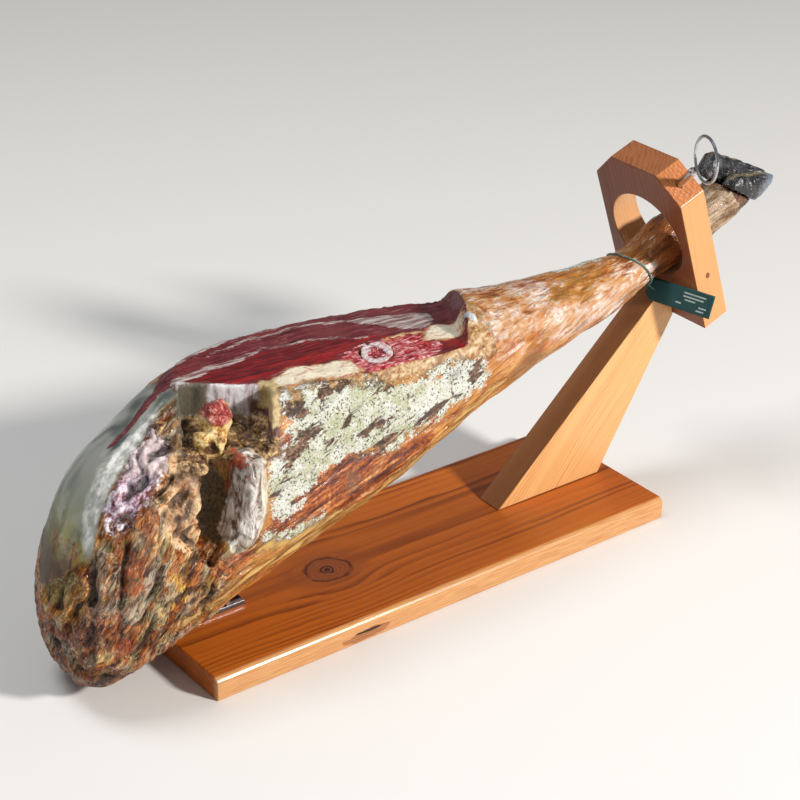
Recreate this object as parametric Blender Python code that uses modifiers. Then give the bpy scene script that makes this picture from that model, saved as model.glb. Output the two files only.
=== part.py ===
"""Cured ham on its wooden carving stand.

Metres, +Z up. The origin is the centre of the board's underside. +X runs along the board towards
the hoof and -Y is the side where the ham's inner face and its hip bone show.
"""

from math import cos, pi, radians, sin, sqrt

import bmesh
import bpy
from mathutils import Matrix, Vector

# ---------------------------------------------------------------- driving dimensions, in metres
GAP = 0.0003

BOARD_LENGTH = 0.500
BOARD_DEPTH = 0.170
BOARD_THICKNESS = 0.021
BOARD_TOP_ROUND = 0.007
BOARD_EDGE_ROUND = 0.0012

POST_THICKNESS = 0.0265
POST_FOOT_LEFT = 0.107
POST_FOOT_RIGHT = 0.232
WOOD_EDGE = 0.0008

PLATE_TILT = radians(21.0)
PLATE_CENTRE = Vector((0.2846, 0.0, 0.2454))
PLATE_THICKNESS = 0.030
PLATE_WIDTH = 0.109
PLATE_HEIGHT = 0.167
PLATE_CHAMFER = 0.0257
HOLE_RADIUS = 0.044
HOLE_RISE = 0.0055
POST_TOP_LOW = -0.0835
POST_TOP_HIGH = -0.046

SCREW_RADIUS = 0.004
SCREW_CLEARANCE = 0.0003
SCREW_INSIDE = 0.056
SCREW_OUTSIDE = 0.036
SCREW_NECK = 0.006
RING_RADIUS = 0.0205
RING_WIRE = 0.0014
RING_TURN = 1.10

BAR_LEFT = -0.236
BAR_RIGHT = -0.170
BAR_WIDTH = 0.012
BAR_THICKNESS = 0.0035
SPIKE_RADIUS = 0.003
SPIKE_PLACES = (-0.222, -0.184)

# The ham's stations along X: place, lowest point, highest point, half its width and the Y of its
# middle, all in millimetres.
HAM_STATIONS = (
    (-354, 86, 96, 10, -8),
    (-347, 32, 114, 36, -8),
    (-334, 13, 143, 53, -6),
    (-308, 8, 183, 66, 0),
    (-265, 22, 211, 73, 6),
    (-215, 35, 237, 76, 10),
    (-155, 51, 252, 76, 14),
    (-95, 71, 251, 75, 16),
    (-35, 93, 248, 72, 15),
    (25, 124, 246, 64, 12),
    (75, 146, 239, 53, 7),
    (125, 161, 235, 43, 3),
    (175, 177, 234, 35, 1),
    (225, 187, 235, 28, 0),
    (262, 201, 238, 22, 0),
    (286, 210, 250, 22, 0),
    (302, 213, 261, 23, 0),
    (322, 220, 265, 23, 0),
    (350, 233, 273, 23, 0),
    (385, 251, 288, 22, 0),
    (404, 260, 284, 17, 0),
    (414, 265, 275, 9, 0),
)
HAM_SQUARENESS = 2.25
HAM_RINGS = 62
HAM_SIDES = 40

# The carved face: its height at the origin, its slopes along X and Y, and its twist.
CUT_HEIGHT = 0.2222
CUT_SLOPE_X = -0.048
CUT_SLOPE_Y = -0.036
CUT_TWIST = -0.35
CUT_END = Vector((0.056, 0.005, 0.0))
CUT_END_TURN = -28.0
CUT_END_LEAN = 0.45

HIP_RECESS_SIZE = (0.072, 0.078, 0.062)
HIP_RECESS_PLACE = (-0.205, -0.033, 0.225)
HIP_RECESS_TURN = (4.0, -29.0)

# The two knobs of the hip bone: radii, centre, and turns in degrees about Y and the upright.
HIP_BONE_KNOBS = (
    ((0.0140, 0.0110, 0.0130), (-0.2100, -0.0240, 0.2200), -15.0, -25.0),
    ((0.0120, 0.0090, 0.0110), (-0.2215, -0.0340, 0.2060), 0.0, -25.0),
)
HIP_BONE_HOLLOW = (-0.2225, -0.0430, 0.2090)

THIGH_BONE_PLACE = (-0.0415, -0.0118)
THIGH_BONE_LENGTH = 0.038
THIGH_BONE_WIDTH = 0.027
THIGH_BONE_DEPTH = 0.022
THIGH_BONE_TURN = 48.0

# The plane where the horn of the foot begins.
CORONET_POINT = Vector((0.3729, 0.0, 0.2803))
CORONET_SLOPE = 28.6

# The claws' stations along that plane, as the ham's: place, low, high, half width and middle, in
# millimetres from the plane's middle.
CLAW_SQUARENESS = 2.3
CLAWS = {
    "claw_far": (
        (-20, 0, 10, 3, 11),
        (-16, -5, 20, 8, 12),
        (2, -6, 26, 12, 13),
        (22, -6, 29, 13, 14),
        (42, -5, 30, 11, 13),
        (53, 2, 31, 9, 12),
        (62, 14, 32, 6, 11),
        (69, 26, 31, 2, 10),
    ),
    "claw_near": (
        (-9, 0, 6, 3, -14),
        (-5, -5, 12, 7, -14),
        (8, -6, 17, 11, -14),
        (22, -6, 23, 12, -14),
        (34, -3, 27, 10, -13),
        (44, 8, 29, 8, -12),
        (51, 18, 30, 5, -11),
        (56, 26, 30, 2, -10),
    ),
}

# Angles round the shank are in degrees: 90 is its top, 180 its near side, 270 its underside.
STRING_RADIUS = 0.0009
STRING_X = 0.2635
STRING_LEAN = 0.0125
STRING_LOW = 250.0
STRING_START = -128.0
STRING_SWEEP = 350.0
STRING_TURN_POINTS = 50
STRING_TAIL_POINTS = 8

TAG_LENGTH = 0.0745
TAG_WIDTH = 0.021
TAG_THICKNESS = 0.0008
TAG_CLIP = 0.006
TAG_EYE_INSET = 0.0095
TAG_EYE = Vector((0.2848, -0.0150, 0.2003))
TAG_RUN = Vector((0.0087, -0.0650, 0.0039))
TAG_DROP = Vector((-0.0082, 0.0, -0.0194))

# ---------------------------------------------------------------- scene and materials


def clear_scene():
    for obj in list(bpy.data.objects):
        bpy.data.objects.remove(obj, do_unlink=True)


def new_collection(name):
    collection = bpy.data.collections.new(name)
    bpy.context.scene.collection.children.link(collection)
    return collection


def principled(name, colour, roughness, metallic=0.0):
    """A material with a plain Principled BSDF."""
    material = bpy.data.materials.new(name)
    material.use_nodes = True
    shader = material.node_tree.nodes["Principled BSDF"]
    shader.inputs["Base Color"].default_value = (*colour, 1.0)
    shader.inputs["Roughness"].default_value = roughness
    shader.inputs["Metallic"].default_value = metallic
    material.diffuse_color = (*colour, 1.0)
    return material


def add_object(name, bm, collection, place=None, material=None, smooth=True):
    """Turns a bmesh into an object of the collection, standing at its place."""
    mesh = bpy.data.meshes.new(name)
    bmesh.ops.recalc_face_normals(bm, faces=bm.faces[:])
    bm.to_mesh(mesh)
    bm.free()
    if material:
        mesh.materials.append(material)
    if smooth:
        mesh.shade_smooth()
        mesh.set_sharp_from_angle(angle=radians(35.0))
    obj = bpy.data.objects.new(name, mesh)
    obj.matrix_world = place or Matrix()
    collection.objects.link(obj)
    return obj


def add_boolean(obj, cutter, operation="DIFFERENCE"):
    """Cuts or joins with a helper, which is never part of the object itself."""
    cutter.hide_render = True
    cutter.display_type = "WIRE"
    modifier = obj.modifiers.new(cutter.name, "BOOLEAN")
    modifier.operation = operation
    modifier.solver = "EXACT"
    modifier.object = cutter


def add_bevel(obj, width, segments=2):
    modifier = obj.modifiers.new("Edges", "BEVEL")
    modifier.width = width
    modifier.segments = segments
    modifier.limit_method = "ANGLE"
    modifier.angle_limit = radians(30.0)


def placed(centre, turn=None):
    """A place in the world: a centre and a turn about it."""
    return Matrix.Translation(centre) @ (turn or Matrix())


def turned(about_y=0.0, about_z=0.0):
    """A turn in degrees about Y and then about the upright."""
    return Matrix.Rotation(radians(about_z), 4, "Z") @ Matrix.Rotation(radians(about_y), 4, "Y")


def along(direction):
    """The turn that lays the Z axis along a direction."""
    return Vector((0.0, 0.0, 1.0)).rotation_difference(direction).to_matrix().to_4x4()


def box(size):
    bm = bmesh.new()
    bmesh.ops.create_cube(bm, size=1.0)
    bmesh.ops.scale(bm, vec=size, verts=bm.verts[:])
    return bm


def ellipsoid(radii, sides=20, rings=12):
    bm = bmesh.new()
    bmesh.ops.create_uvsphere(bm, u_segments=sides, v_segments=rings, radius=1.0)
    bmesh.ops.scale(bm, vec=radii, verts=bm.verts[:])
    return bm


def rod(radius_low, radius_high, length, sides=24):
    """A round bar or cone along Z, with its middle at the origin."""
    bm = bmesh.new()
    bmesh.ops.create_cone(
        bm,
        cap_ends=True,
        segments=sides,
        radius1=radius_low,
        radius2=radius_high,
        depth=length,
    )
    return bm


def round_edges(bm, edges, radius, segments):
    """Rounds edges, or chamfers them when one segment is asked for."""
    bmesh.ops.bevel(
        bm,
        geom=edges,
        affect="EDGES",
        offset=radius,
        offset_type="OFFSET",
        segments=segments,
        profile=0.5,
        material=-1,
    )


def edges_where(bm, test):
    """The edges whose middle and direction pass the test."""
    found = []
    for edge in bm.edges:
        first, last = (vert.co for vert in edge.verts)
        if test((first + last) / 2, (last - first).normalized()):
            found.append(edge)
    return found


# ---------------------------------------------------------------- the stand

PLATE_TURN = Matrix.Rotation(-PLATE_TILT, 4, "Y")
PLATE_OUT = Vector((cos(PLATE_TILT), 0.0, sin(PLATE_TILT)))
PLATE_UP = Vector((-sin(PLATE_TILT), 0.0, cos(PLATE_TILT)))
ACROSS = Vector((0.0, 1.0, 0.0))


def on_plate(depth, across, up):
    """A point of the head plate: depth from its ham side, across and up from its centre."""
    return PLATE_CENTRE + PLATE_OUT * depth + ACROSS * across + PLATE_UP * up


def make_board(collection, material):
    bm = box((BOARD_LENGTH, BOARD_DEPTH, BOARD_THICKNESS))
    long_top = edges_where(bm, lambda middle, way: middle.z > 0 and abs(way.x) > 0.9)
    round_edges(bm, long_top, BOARD_TOP_ROUND, segments=6)
    place = placed((0.0, 0.0, BOARD_THICKNESS / 2))
    board = add_object("base_board", bm, collection, place, material)
    add_bevel(board, BOARD_EDGE_ROUND)
    return board


def make_post(collection, material):
    """A fin between the board and the foot of the head plate, wide at its base."""
    top_low = on_plate(-GAP, 0.0, POST_TOP_LOW)
    top_high = on_plate(-GAP, 0.0, POST_TOP_HIGH)
    foot = BOARD_THICKNESS + GAP
    outline = (
        (POST_FOOT_LEFT, foot),
        (POST_FOOT_RIGHT, foot),
        (top_low.x, top_low.z),
        (top_high.x, top_high.z),
    )
    curve = bpy.data.curves.new("post", "CURVE")
    curve.dimensions = "2D"
    curve.fill_mode = "BOTH"
    curve.extrude = POST_THICKNESS / 2
    spline = curve.splines.new("POLY")
    spline.points.add(len(outline) - 1)
    for point, (x, z) in zip(spline.points, outline):
        point.co = (x, z, 0.0, 1.0)
    spline.use_cyclic_u = True
    curve.materials.append(material)
    post = bpy.data.objects.new("post", curve)
    post.rotation_euler = (pi / 2, 0.0, 0.0)
    collection.objects.link(post)
    weld = post.modifiers.new("Caps", "WELD")
    weld.merge_threshold = 0.0001
    add_bevel(post, WOOD_EDGE)
    return post


def screw_entry():
    """The middle of the chamfer that the screw goes in at."""
    across = -(PLATE_WIDTH - PLATE_CHAMFER) / 2
    up = (PLATE_HEIGHT - PLATE_CHAMFER) / 2
    return on_plate(PLATE_THICKNESS / 2, across, up)


def screw_way():
    """The way out along the screw, square to the chamfer."""
    return (PLATE_UP - ACROSS) / sqrt(2)


def make_head_plate(collection, cutters, material):
    """A thick plate with two chamfered corners, the shank's hole and the screw's hole."""
    bm = box((PLATE_THICKNESS, PLATE_WIDTH, PLATE_HEIGHT))
    corners = edges_where(bm, lambda middle, way: middle.z > 0 and abs(way.x) > 0.9)
    round_edges(bm, corners, PLATE_CHAMFER, segments=1)
    middle = on_plate(PLATE_THICKNESS / 2, 0.0, 0.0)
    plate = add_object("head_plate", bm, collection, placed(middle, PLATE_TURN), material)
    add_bevel(plate, WOOD_EDGE)

    hole = rod(HOLE_RADIUS, HOLE_RADIUS, PLATE_THICKNESS + 0.04, sides=56)
    hole_place = placed(on_plate(PLATE_THICKNESS / 2, 0.0, HOLE_RISE), along(PLATE_OUT))
    add_boolean(plate, add_object("shank_hole", hole, cutters, hole_place))

    bore_radius = SCREW_RADIUS + SCREW_CLEARANCE
    bore = rod(bore_radius, bore_radius, 0.08)
    bore_place = placed(screw_entry() - screw_way() * 0.02, along(screw_way()))
    add_boolean(plate, add_object("screw_hole", bore, cutters, bore_place))
    return plate


def make_clamp_screw(collection, material):
    """A smooth steel screw with a blunt point and a narrow neck under its ring."""
    neck = SCREW_OUTSIDE - SCREW_NECK
    profile = (
        (0.0, SCREW_OUTSIDE),
        (SCREW_RADIUS * 0.60, SCREW_OUTSIDE),
        (SCREW_RADIUS * 0.70, neck + SCREW_RADIUS * 0.30),
        (SCREW_RADIUS, neck),
        (SCREW_RADIUS, -SCREW_INSIDE + 0.003),
        (SCREW_RADIUS * 0.30, -SCREW_INSIDE),
        (0.0, -SCREW_INSIDE),
    )
    bm = bmesh.new()
    points = [bm.verts.new((radius, 0.0, place)) for radius, place in profile]
    for pair in zip(points, points[1:]):
        bm.edges.new(pair)
    place = placed(screw_entry(), along(screw_way()))
    screw = add_object("clamp_screw", bm, collection, place, material)
    turning = screw.modifiers.new("Turning", "SCREW")
    turning.steps = 24
    turning.render_steps = 24
    turning.use_merge_vertices = True
    turning.merge_threshold = 0.00005
    return screw


def make_ring_handle(collection, material):
    """The ring that turns the screw. The screw's axis crosses its middle."""
    reach = SCREW_OUTSIDE + GAP + RING_WIRE + RING_RADIUS
    side = PLATE_OUT * cos(RING_TURN) + screw_way().cross(PLATE_OUT) * sin(RING_TURN)
    turn = Matrix((screw_way(), side, screw_way().cross(side))).transposed().to_4x4()
    bpy.ops.mesh.primitive_torus_add(
        major_segments=40,
        minor_segments=8,
        major_radius=RING_RADIUS,
        minor_radius=RING_WIRE,
    )
    ring = bpy.context.object
    ring.name = "ring_handle"
    ring.matrix_world = placed(screw_entry() + screw_way() * reach, turn)
    ring.data.materials.append(material)
    ring.data.shade_smooth()
    for owner in list(ring.users_collection):
        owner.objects.unlink(ring)
    collection.objects.link(ring)
    return ring


def make_spike_bar(collection, cutters, material):
    """A flat steel bar on the board with the two spikes that carry the ham."""
    middle = (BAR_LEFT + BAR_RIGHT) / 2
    height = BOARD_THICKNESS + GAP + BAR_THICKNESS / 2
    bm = box((BAR_RIGHT - BAR_LEFT, BAR_WIDTH, BAR_THICKNESS))
    bar = add_object("spike_bar", bm, collection, placed((middle, 0.0, height)), material)
    for number, place in enumerate(SPIKE_PLACES, start=1):
        tip = skin_under(place) - 2 * GAP
        spike = rod(SPIKE_RADIUS, SPIKE_RADIUS * 0.35, tip - height, sides=12)
        spike_place = placed((place, 0.0, (tip + height) / 2))
        add_boolean(bar, add_object(f"spike_{number}", spike, cutters, spike_place), "UNION")
    return bar


# ---------------------------------------------------------------- the ham


def smooth_value(rows, place, column):
    """A column of the stations read at any place by a smooth curve through them."""
    index = max(0, min(len(rows) - 2, sum(row[0] <= place for row in rows) - 1))
    low, high = rows[index], rows[index + 1]
    before = rows[max(index - 1, 0)]
    after = rows[min(index + 2, len(rows) - 1)]
    span = high[0] - low[0]

    def slope_at(first, middle, last):
        if first is middle or last is middle:
            return (high[column] - low[column]) / span
        run_left = middle[0] - first[0]
        run_right = last[0] - middle[0]
        left = (middle[column] - first[column]) / run_left
        right = (last[column] - middle[column]) / run_right
        return (left * run_right + right * run_left) / (run_left + run_right)

    start = slope_at(before, low, high) * span
    end = slope_at(low, high, after) * span
    t = (place - low[0]) / span
    return (
        (2 * t**3 - 3 * t**2 + 1) * low[column]
        + (t**3 - 2 * t**2 + t) * start
        + (3 * t**2 - 2 * t**3) * high[column]
        + (t**3 - t**2) * end
    )


def section(rows, x):
    """Low, high, half width and middle of the section at x, in metres."""
    return [smooth_value(rows, x * 1000, column) / 1000 for column in (1, 2, 3, 4)]


def rounded(value, squareness):
    """A cosine or sine bent towards a square."""
    return abs(value) ** (2 / squareness) * (1 if value >= 0 else -1)


def section_point(rows, squareness, x, angle, out=0.0):
    """A point of a section: 0 is its far side, a quarter turn its top, a half its near side."""
    low, high, half_width, middle = section(rows, x)
    across = rounded(cos(angle), squareness)
    up = rounded(sin(angle), squareness)
    y = middle + (half_width + out) * across
    z = (low + high) / 2 + ((high - low) / 2 + out) * up
    return Vector((x, y, z))


def ring_edges(bm, ring):
    """The closed loop of edges through a ring of points, made where they are missing."""
    pairs = zip(ring, ring[1:] + ring[:1])
    return [bm.edges.get(pair) or bm.edges.new(pair) for pair in pairs]


def loft(rows, squareness, ring_count, sides, crowding):
    """A body of rings through the stations. Crowding draws the rings towards its two ends."""
    bm = bmesh.new()
    start, end = rows[0][0] / 1000, rows[-1][0] / 1000
    rings = []
    for number in range(ring_count):
        t = number / (ring_count - 1)
        x = start + (end - start) * (t - crowding * sin(2 * pi * t))
        angles = [2 * pi * side / sides for side in range(sides)]
        points = [section_point(rows, squareness, x, angle) for angle in angles]
        rings.append([bm.verts.new(point) for point in points])
    for ring, following in zip(rings, rings[1:]):
        bmesh.ops.bridge_loops(bm, edges=ring_edges(bm, ring) + ring_edges(bm, following))
    for ring in (rings[0], rings[-1]):
        cap = bmesh.ops.contextual_create(bm, geom=ring_edges(bm, ring))["faces"]
        bmesh.ops.poke(bm, faces=cap)
    return bm


def skin_under(x):
    """The height of the ham's underside over the board's middle line."""
    low, high, half_width, middle = section(HAM_STATIONS, x)
    up = (1 - abs(middle / half_width) ** HAM_SQUARENESS) ** (1 / HAM_SQUARENESS)
    return (low + high) / 2 - (high - low) / 2 * up


def cut_height(x, y):
    """The height of the carved face over a place."""
    return CUT_HEIGHT + CUT_SLOPE_X * x + CUT_SLOPE_Y * y + CUT_TWIST * x * y


def carved_shape():
    """Everything that the knife has taken off the top, from the butt to the step at the shank."""
    length, depth, height = 0.60, 0.50, 0.12
    bm = box((length, depth, height))
    bmesh.ops.subdivide_edges(bm, edges=bm.edges[:], cuts=5, use_grid_fill=True)
    bmesh.ops.translate(bm, vec=(-length / 2, 0.0, height / 2), verts=bm.verts[:])
    place = placed(CUT_END, turned(about_z=CUT_END_TURN))
    bmesh.ops.transform(bm, matrix=place, verts=bm.verts[:])
    for vert in bm.verts:
        rise = vert.co.z
        vert.co.z = cut_height(vert.co.x, vert.co.y) + rise
        vert.co.x += rise * CUT_END_LEAN
    return bm


def thigh_bone_shape(extra=0.0):
    """The round of thigh bone that the carving has reached, or its pocket grown by extra."""
    top = 0.01 if extra else 0.0
    depth = THIGH_BONE_DEPTH + extra
    bm = rod(1.0, 1.0, 1.0, sides=32)
    length = THIGH_BONE_LENGTH / 2 + extra
    width = THIGH_BONE_WIDTH / 2 + extra
    bmesh.ops.scale(bm, vec=(length, width, top + depth), verts=bm.verts[:])
    centre = Vector((*THIGH_BONE_PLACE, cut_height(*THIGH_BONE_PLACE) + (top - depth) / 2))
    return bm, placed(centre, turned(about_z=THIGH_BONE_TURN))


def hip_bone_shapes(extra=0.0):
    """The two knobs of the sawn hip bone, or their pockets grown by extra."""
    shapes = []
    for radii, centre, about_y, about_z in HIP_BONE_KNOBS:
        grown = [radius + extra for radius in radii]
        shapes.append((ellipsoid(grown), placed(centre, turned(about_y, about_z))))
    return shapes


def make_ham(collection, cutters, material):
    body = loft(HAM_STATIONS, HAM_SQUARENESS, HAM_RINGS, HAM_SIDES, 0.075)
    ham = add_object("ham", body, collection, material=material)

    lobe = ellipsoid((0.014, 0.018, 0.050))
    lobe_place = placed((-0.203, -0.057, 0.159), turned(about_y=8.0))
    add_boolean(ham, add_object("rolled_lobe", lobe, cutters, lobe_place), "UNION")

    add_boolean(ham, add_object("carved_top", carved_shape(), cutters, smooth=False))

    recess = box(HIP_RECESS_SIZE)
    round_edges(recess, recess.edges[:], 0.008, segments=3)
    recess_place = placed(HIP_RECESS_PLACE, turned(*HIP_RECESS_TURN))
    add_boolean(ham, add_object("hip_recess", recess, cutters, recess_place, smooth=False))

    cavity = ellipsoid((0.018, 0.034, 0.052))
    cavity_place = placed((-0.230, -0.060, 0.164), turned(about_y=14.0))
    add_boolean(ham, add_object("hip_cavity", cavity, cutters, cavity_place))

    pocket, pocket_place = thigh_bone_shape(GAP)
    add_boolean(ham, add_object("thigh_bone_pocket", pocket, cutters, pocket_place))
    for number, (shape, place) in enumerate(hip_bone_shapes(GAP), start=1):
        add_boolean(ham, add_object(f"hip_bone_pocket_{number}", shape, cutters, place))

    above = box((0.2, 0.2, 0.1))
    bmesh.ops.translate(above, vec=(0.0, 0.0, 0.05), verts=above.verts[:])
    above_place = placed(CORONET_POINT, turned(about_y=CORONET_SLOPE))
    add_boolean(ham, add_object("coronet", above, cutters, above_place, smooth=False))
    return ham


def make_thigh_bone(collection, material):
    bm, place = thigh_bone_shape()
    return add_object("thigh_bone", bm, collection, place, material)


def make_hip_bone(collection, cutters, material):
    """The sawn end of the hip bone: two knobs, the lower one hollow."""
    (upper, upper_place), (lower, lower_place) = hip_bone_shapes()
    bone = add_object("hip_bone", upper, collection, upper_place, material)
    add_boolean(bone, add_object("hip_bone_rim", lower, cutters, lower_place), "UNION")
    hollow = ellipsoid((0.0055, 0.0055, 0.0065), sides=12, rings=8)
    add_boolean(bone, add_object("hip_bone_hollow", hollow, cutters, placed(HIP_BONE_HOLLOW)))
    return bone


def make_claw(name, stations, collection, material):
    """One toe's horn, which narrows to its tip and stands on the coronet."""
    bm = loft(stations, CLAW_SQUARENESS, 14, 16, 0.06)
    sliced = bmesh.ops.bisect_plane(
        bm,
        geom=bm.verts[:] + bm.edges[:] + bm.faces[:],
        plane_co=(0.0, 0.0, GAP),
        plane_no=(0.0, 0.0, 1.0),
        clear_inner=True,
    )
    rim = [item for item in sliced["geom_cut"] if isinstance(item, bmesh.types.BMEdge)]
    bmesh.ops.contextual_create(bm, geom=rim)
    place = placed(CORONET_POINT, turned(about_y=CORONET_SLOPE))
    return add_object(name, bm, collection, place, material)


# ---------------------------------------------------------------- string and tag


def tag_axes():
    """The tag's own axes: along it, across it and out of its face."""
    run = TAG_RUN.normalized()
    drop = (TAG_DROP - run * TAG_DROP.dot(run)).normalized()
    return run, drop, run.cross(drop)


def make_tag(collection, material):
    """A card with two clipped corners at its string end."""
    bm = box((TAG_LENGTH, TAG_WIDTH, TAG_THICKNESS))
    clipped = edges_where(bm, lambda middle, way: middle.x < 0 and abs(way.z) > 0.9)
    round_edges(bm, clipped, TAG_CLIP, segments=1)
    run, drop, face = tag_axes()
    turn = Matrix((run, drop, face)).transposed().to_4x4()
    middle = TAG_EYE + run * (TAG_LENGTH / 2 - TAG_EYE_INSET)
    return add_object("tag", bm, collection, placed(middle, turn), material)


def string_route():
    """Once round the shank, then down to the face of the tag."""
    clearance = STRING_RADIUS + 2 * GAP
    points = []
    for step in range(STRING_TURN_POINTS):
        degrees = STRING_START + STRING_SWEEP * step / (STRING_TURN_POINTS - 1)
        x = STRING_X + STRING_LEAN * cos(radians(degrees - STRING_LOW))
        points.append(section_point(HAM_STATIONS, HAM_SQUARENESS, x, radians(degrees), clearance))
    face = tag_axes()[2]
    outside = face if face.x < 0 else -face
    end = TAG_EYE + outside * (TAG_THICKNESS / 2 + clearance)
    leave = points[-1]
    control = leave + (points[-1] - points[-2]).normalized() * 0.006
    for step in range(1, STRING_TAIL_POINTS):
        t = step / (STRING_TAIL_POINTS - 1)
        points.append(leave * (1 - t) ** 2 + control * 2 * t * (1 - t) + end * t**2)
    return points


def make_string(collection, material):
    """The cord that ties the tag to the shank, drawn as one open line."""
    curve = bpy.data.curves.new("tag_string", "CURVE")
    curve.dimensions = "3D"
    curve.bevel_depth = STRING_RADIUS
    curve.bevel_resolution = 2
    curve.use_fill_caps = True
    route = string_route()
    spline = curve.splines.new("POLY")
    spline.points.add(len(route) - 1)
    for point, place in zip(spline.points, route):
        point.co = (*place, 1.0)
    curve.materials.append(material)
    obj = bpy.data.objects.new("tag_string", curve)
    collection.objects.link(obj)
    return obj


def main():
    clear_scene()
    collection = new_collection("cured_ham_on_stand")
    cutters = new_collection("cutters")
    pine = principled("pine", (0.62, 0.30, 0.09), 0.35)
    pale_pine = principled("pale_pine", (0.78, 0.52, 0.24), 0.4)
    steel = principled("steel", (0.62, 0.64, 0.66), 0.2, 1.0)
    meat = principled("cured_meat", (0.50, 0.30, 0.16), 0.5)
    bone = principled("bone", (0.80, 0.68, 0.42), 0.45)
    horn = principled("horn", (0.05, 0.05, 0.055), 0.4)
    cord = principled("green_cord", (0.03, 0.16, 0.14), 0.7)
    card = principled("green_card", (0.01, 0.12, 0.12), 0.45)

    make_board(collection, pine)
    make_post(collection, pale_pine)
    make_head_plate(collection, cutters, pine)
    make_clamp_screw(collection, steel)
    make_ring_handle(collection, steel)
    make_spike_bar(collection, cutters, steel)
    make_ham(collection, cutters, meat)
    make_thigh_bone(collection, bone)
    make_hip_bone(collection, cutters, bone)
    for name, stations in CLAWS.items():
        make_claw(name, stations, collection, horn)
    make_string(collection, cord)
    make_tag(collection, card)


if __name__ == "__main__":
    main()
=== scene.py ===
"""A cured ham on its carving stand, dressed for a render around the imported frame."""

import functools
import math
import types

import bmesh
import bpy
import numpy as np
from mathutils import Matrix, Vector, noise
from mathutils.bvhtree import BVHTree


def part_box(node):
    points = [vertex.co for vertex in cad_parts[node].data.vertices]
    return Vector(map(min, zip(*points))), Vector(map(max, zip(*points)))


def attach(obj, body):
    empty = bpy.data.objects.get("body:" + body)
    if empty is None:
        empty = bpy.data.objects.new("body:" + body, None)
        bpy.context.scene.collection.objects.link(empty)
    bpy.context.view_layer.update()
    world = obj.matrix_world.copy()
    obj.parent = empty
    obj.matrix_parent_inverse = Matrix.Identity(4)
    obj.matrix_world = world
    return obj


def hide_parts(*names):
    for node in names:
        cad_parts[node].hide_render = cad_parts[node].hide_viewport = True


bl_info = {
    "name": "Cured ham on a carving stand",
    "version": (1, 0, 0),
    "blender": (4, 5, 0),
    "location": "View3D > Sidebar > Ham",
    "description": "Builds the looks of a cured ham and its stand, piece by piece",
    "category": "Add Mesh",
}

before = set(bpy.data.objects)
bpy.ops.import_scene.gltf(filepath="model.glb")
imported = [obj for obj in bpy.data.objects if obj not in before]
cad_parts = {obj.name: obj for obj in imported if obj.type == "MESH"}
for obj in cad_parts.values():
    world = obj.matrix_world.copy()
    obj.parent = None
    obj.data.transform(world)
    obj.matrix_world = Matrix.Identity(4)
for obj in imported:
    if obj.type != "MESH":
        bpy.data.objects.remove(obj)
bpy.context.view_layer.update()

# ------------------------------------------------------------------ places, in metres

CUT_PLACE = (0.2222, -0.048, -0.036, -0.35)
STEP_FOOT = Vector((0.056, 0.005))
STEP_TURN = math.radians(-28.0)
STEP_LEAN = 0.45
PLATE_TILT = math.radians(21.0)
PLATE_PLACE = Vector((0.2846, 0.0, 0.2454))
PLATE_UP = Vector((-math.sin(PLATE_TILT), 0.0, math.cos(PLATE_TILT)))
BOARD_KNOT = (-0.081, -0.0035)
BONE_PLACE = Vector((-0.0415, -0.0118, 0.2236))
BONE_TURN = math.radians(48.0)
BONE_HALF = (0.019, 0.0135)
TAG_EYE = Vector((0.2848, -0.0150, 0.2003))
TAG_RUN = Vector((0.0087, -0.0650, 0.0039)).normalized()
TAG_DROP = Vector((-0.0082, 0.0, -0.0194))
TAG_SIZE = (0.0745, 0.021, 0.0008)
TAG_EYE_INSET = 0.0095
STRING_RADIUS = 0.0009
# how far a strand goes in one turn round the others, and shares of the string's radius
STRAND_LAY = 0.0042
STRAND_CORE = 0.48
STRAND_RADIUS = 0.56
# the string's loop round the shank: its middle in X and Z, from where it goes and how far in
# degrees, how much it slants along the shank, towards which angle, and how far out it starts
LOOP_MIDDLE = (0.2635, 0.2195)
LOOP_START = -128.0
LOOP_SWEEP = 350.0
LOOP_STEPS = 50
LOOP_SLANT = 0.0125
LOOP_LEAN = math.radians(250.0)
LOOP_REACH = 0.06
SHANK_RISE = 0.35
# the sawn notch of the hip: its middle in X and Y, its turn, half its length and width in
# millimetres, and the height of its floor
NOTCH_PLACE = (-0.205, -0.033)
NOTCH_TURN = math.radians(-29.0)
NOTCH_HALF = (37.5, 40.5)
NOTCH_FLOOR = 0.193

# ------------------------------------------------------------------ camera and lights

CAMERA_PLACE = (-0.9776, -1.1870, 0.9650)
CAMERA_AHEAD = Vector((0.56213, 0.68541, -0.46284))
CAMERA_ROLL = math.radians(2.2743)
CAMERA_LENS = 90.5

SKY_COLOUR = (0.83, 0.85, 0.88, 1.0)
SKY_STRENGTH = 0.24

# name, place, what it looks at, size across, power in watts, colour
LIGHTS = (
    ("key", (1.7, -3.5, 2.2), (0.0, 0.0, 0.14), 0.55, 240.0, (1.0, 0.965, 0.92)),
    ("top", (-0.9, 0.6, 2.6), (0.0, 0.0, 0.1), 1.2, 30.0, (0.95, 0.98, 1.0)),
)

# millimetres in a metre
MM = 1000
# what a zone says of a point that is nowhere near it, in millimetres
OUTSIDE = -20
# farther than any point, in metres
FAR = 1e9


def tone(red, green, blue):
    """The linear colour of a colour given in display steps from 0 to 255."""
    steps = [value / 255 for value in (red, green, blue)]
    return tuple(v / 12.92 if v < 0.04045 else ((v + 0.055) / 1.055) ** 2.4 for v in steps)


def colour_setting(name, about, red, green, blue):
    return bpy.props.FloatVectorProperty(
        name=name, description=about, default=tone(red, green, blue),
        subtype="COLOR", size=3, min=0.0, max=1.0,
    )


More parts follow.
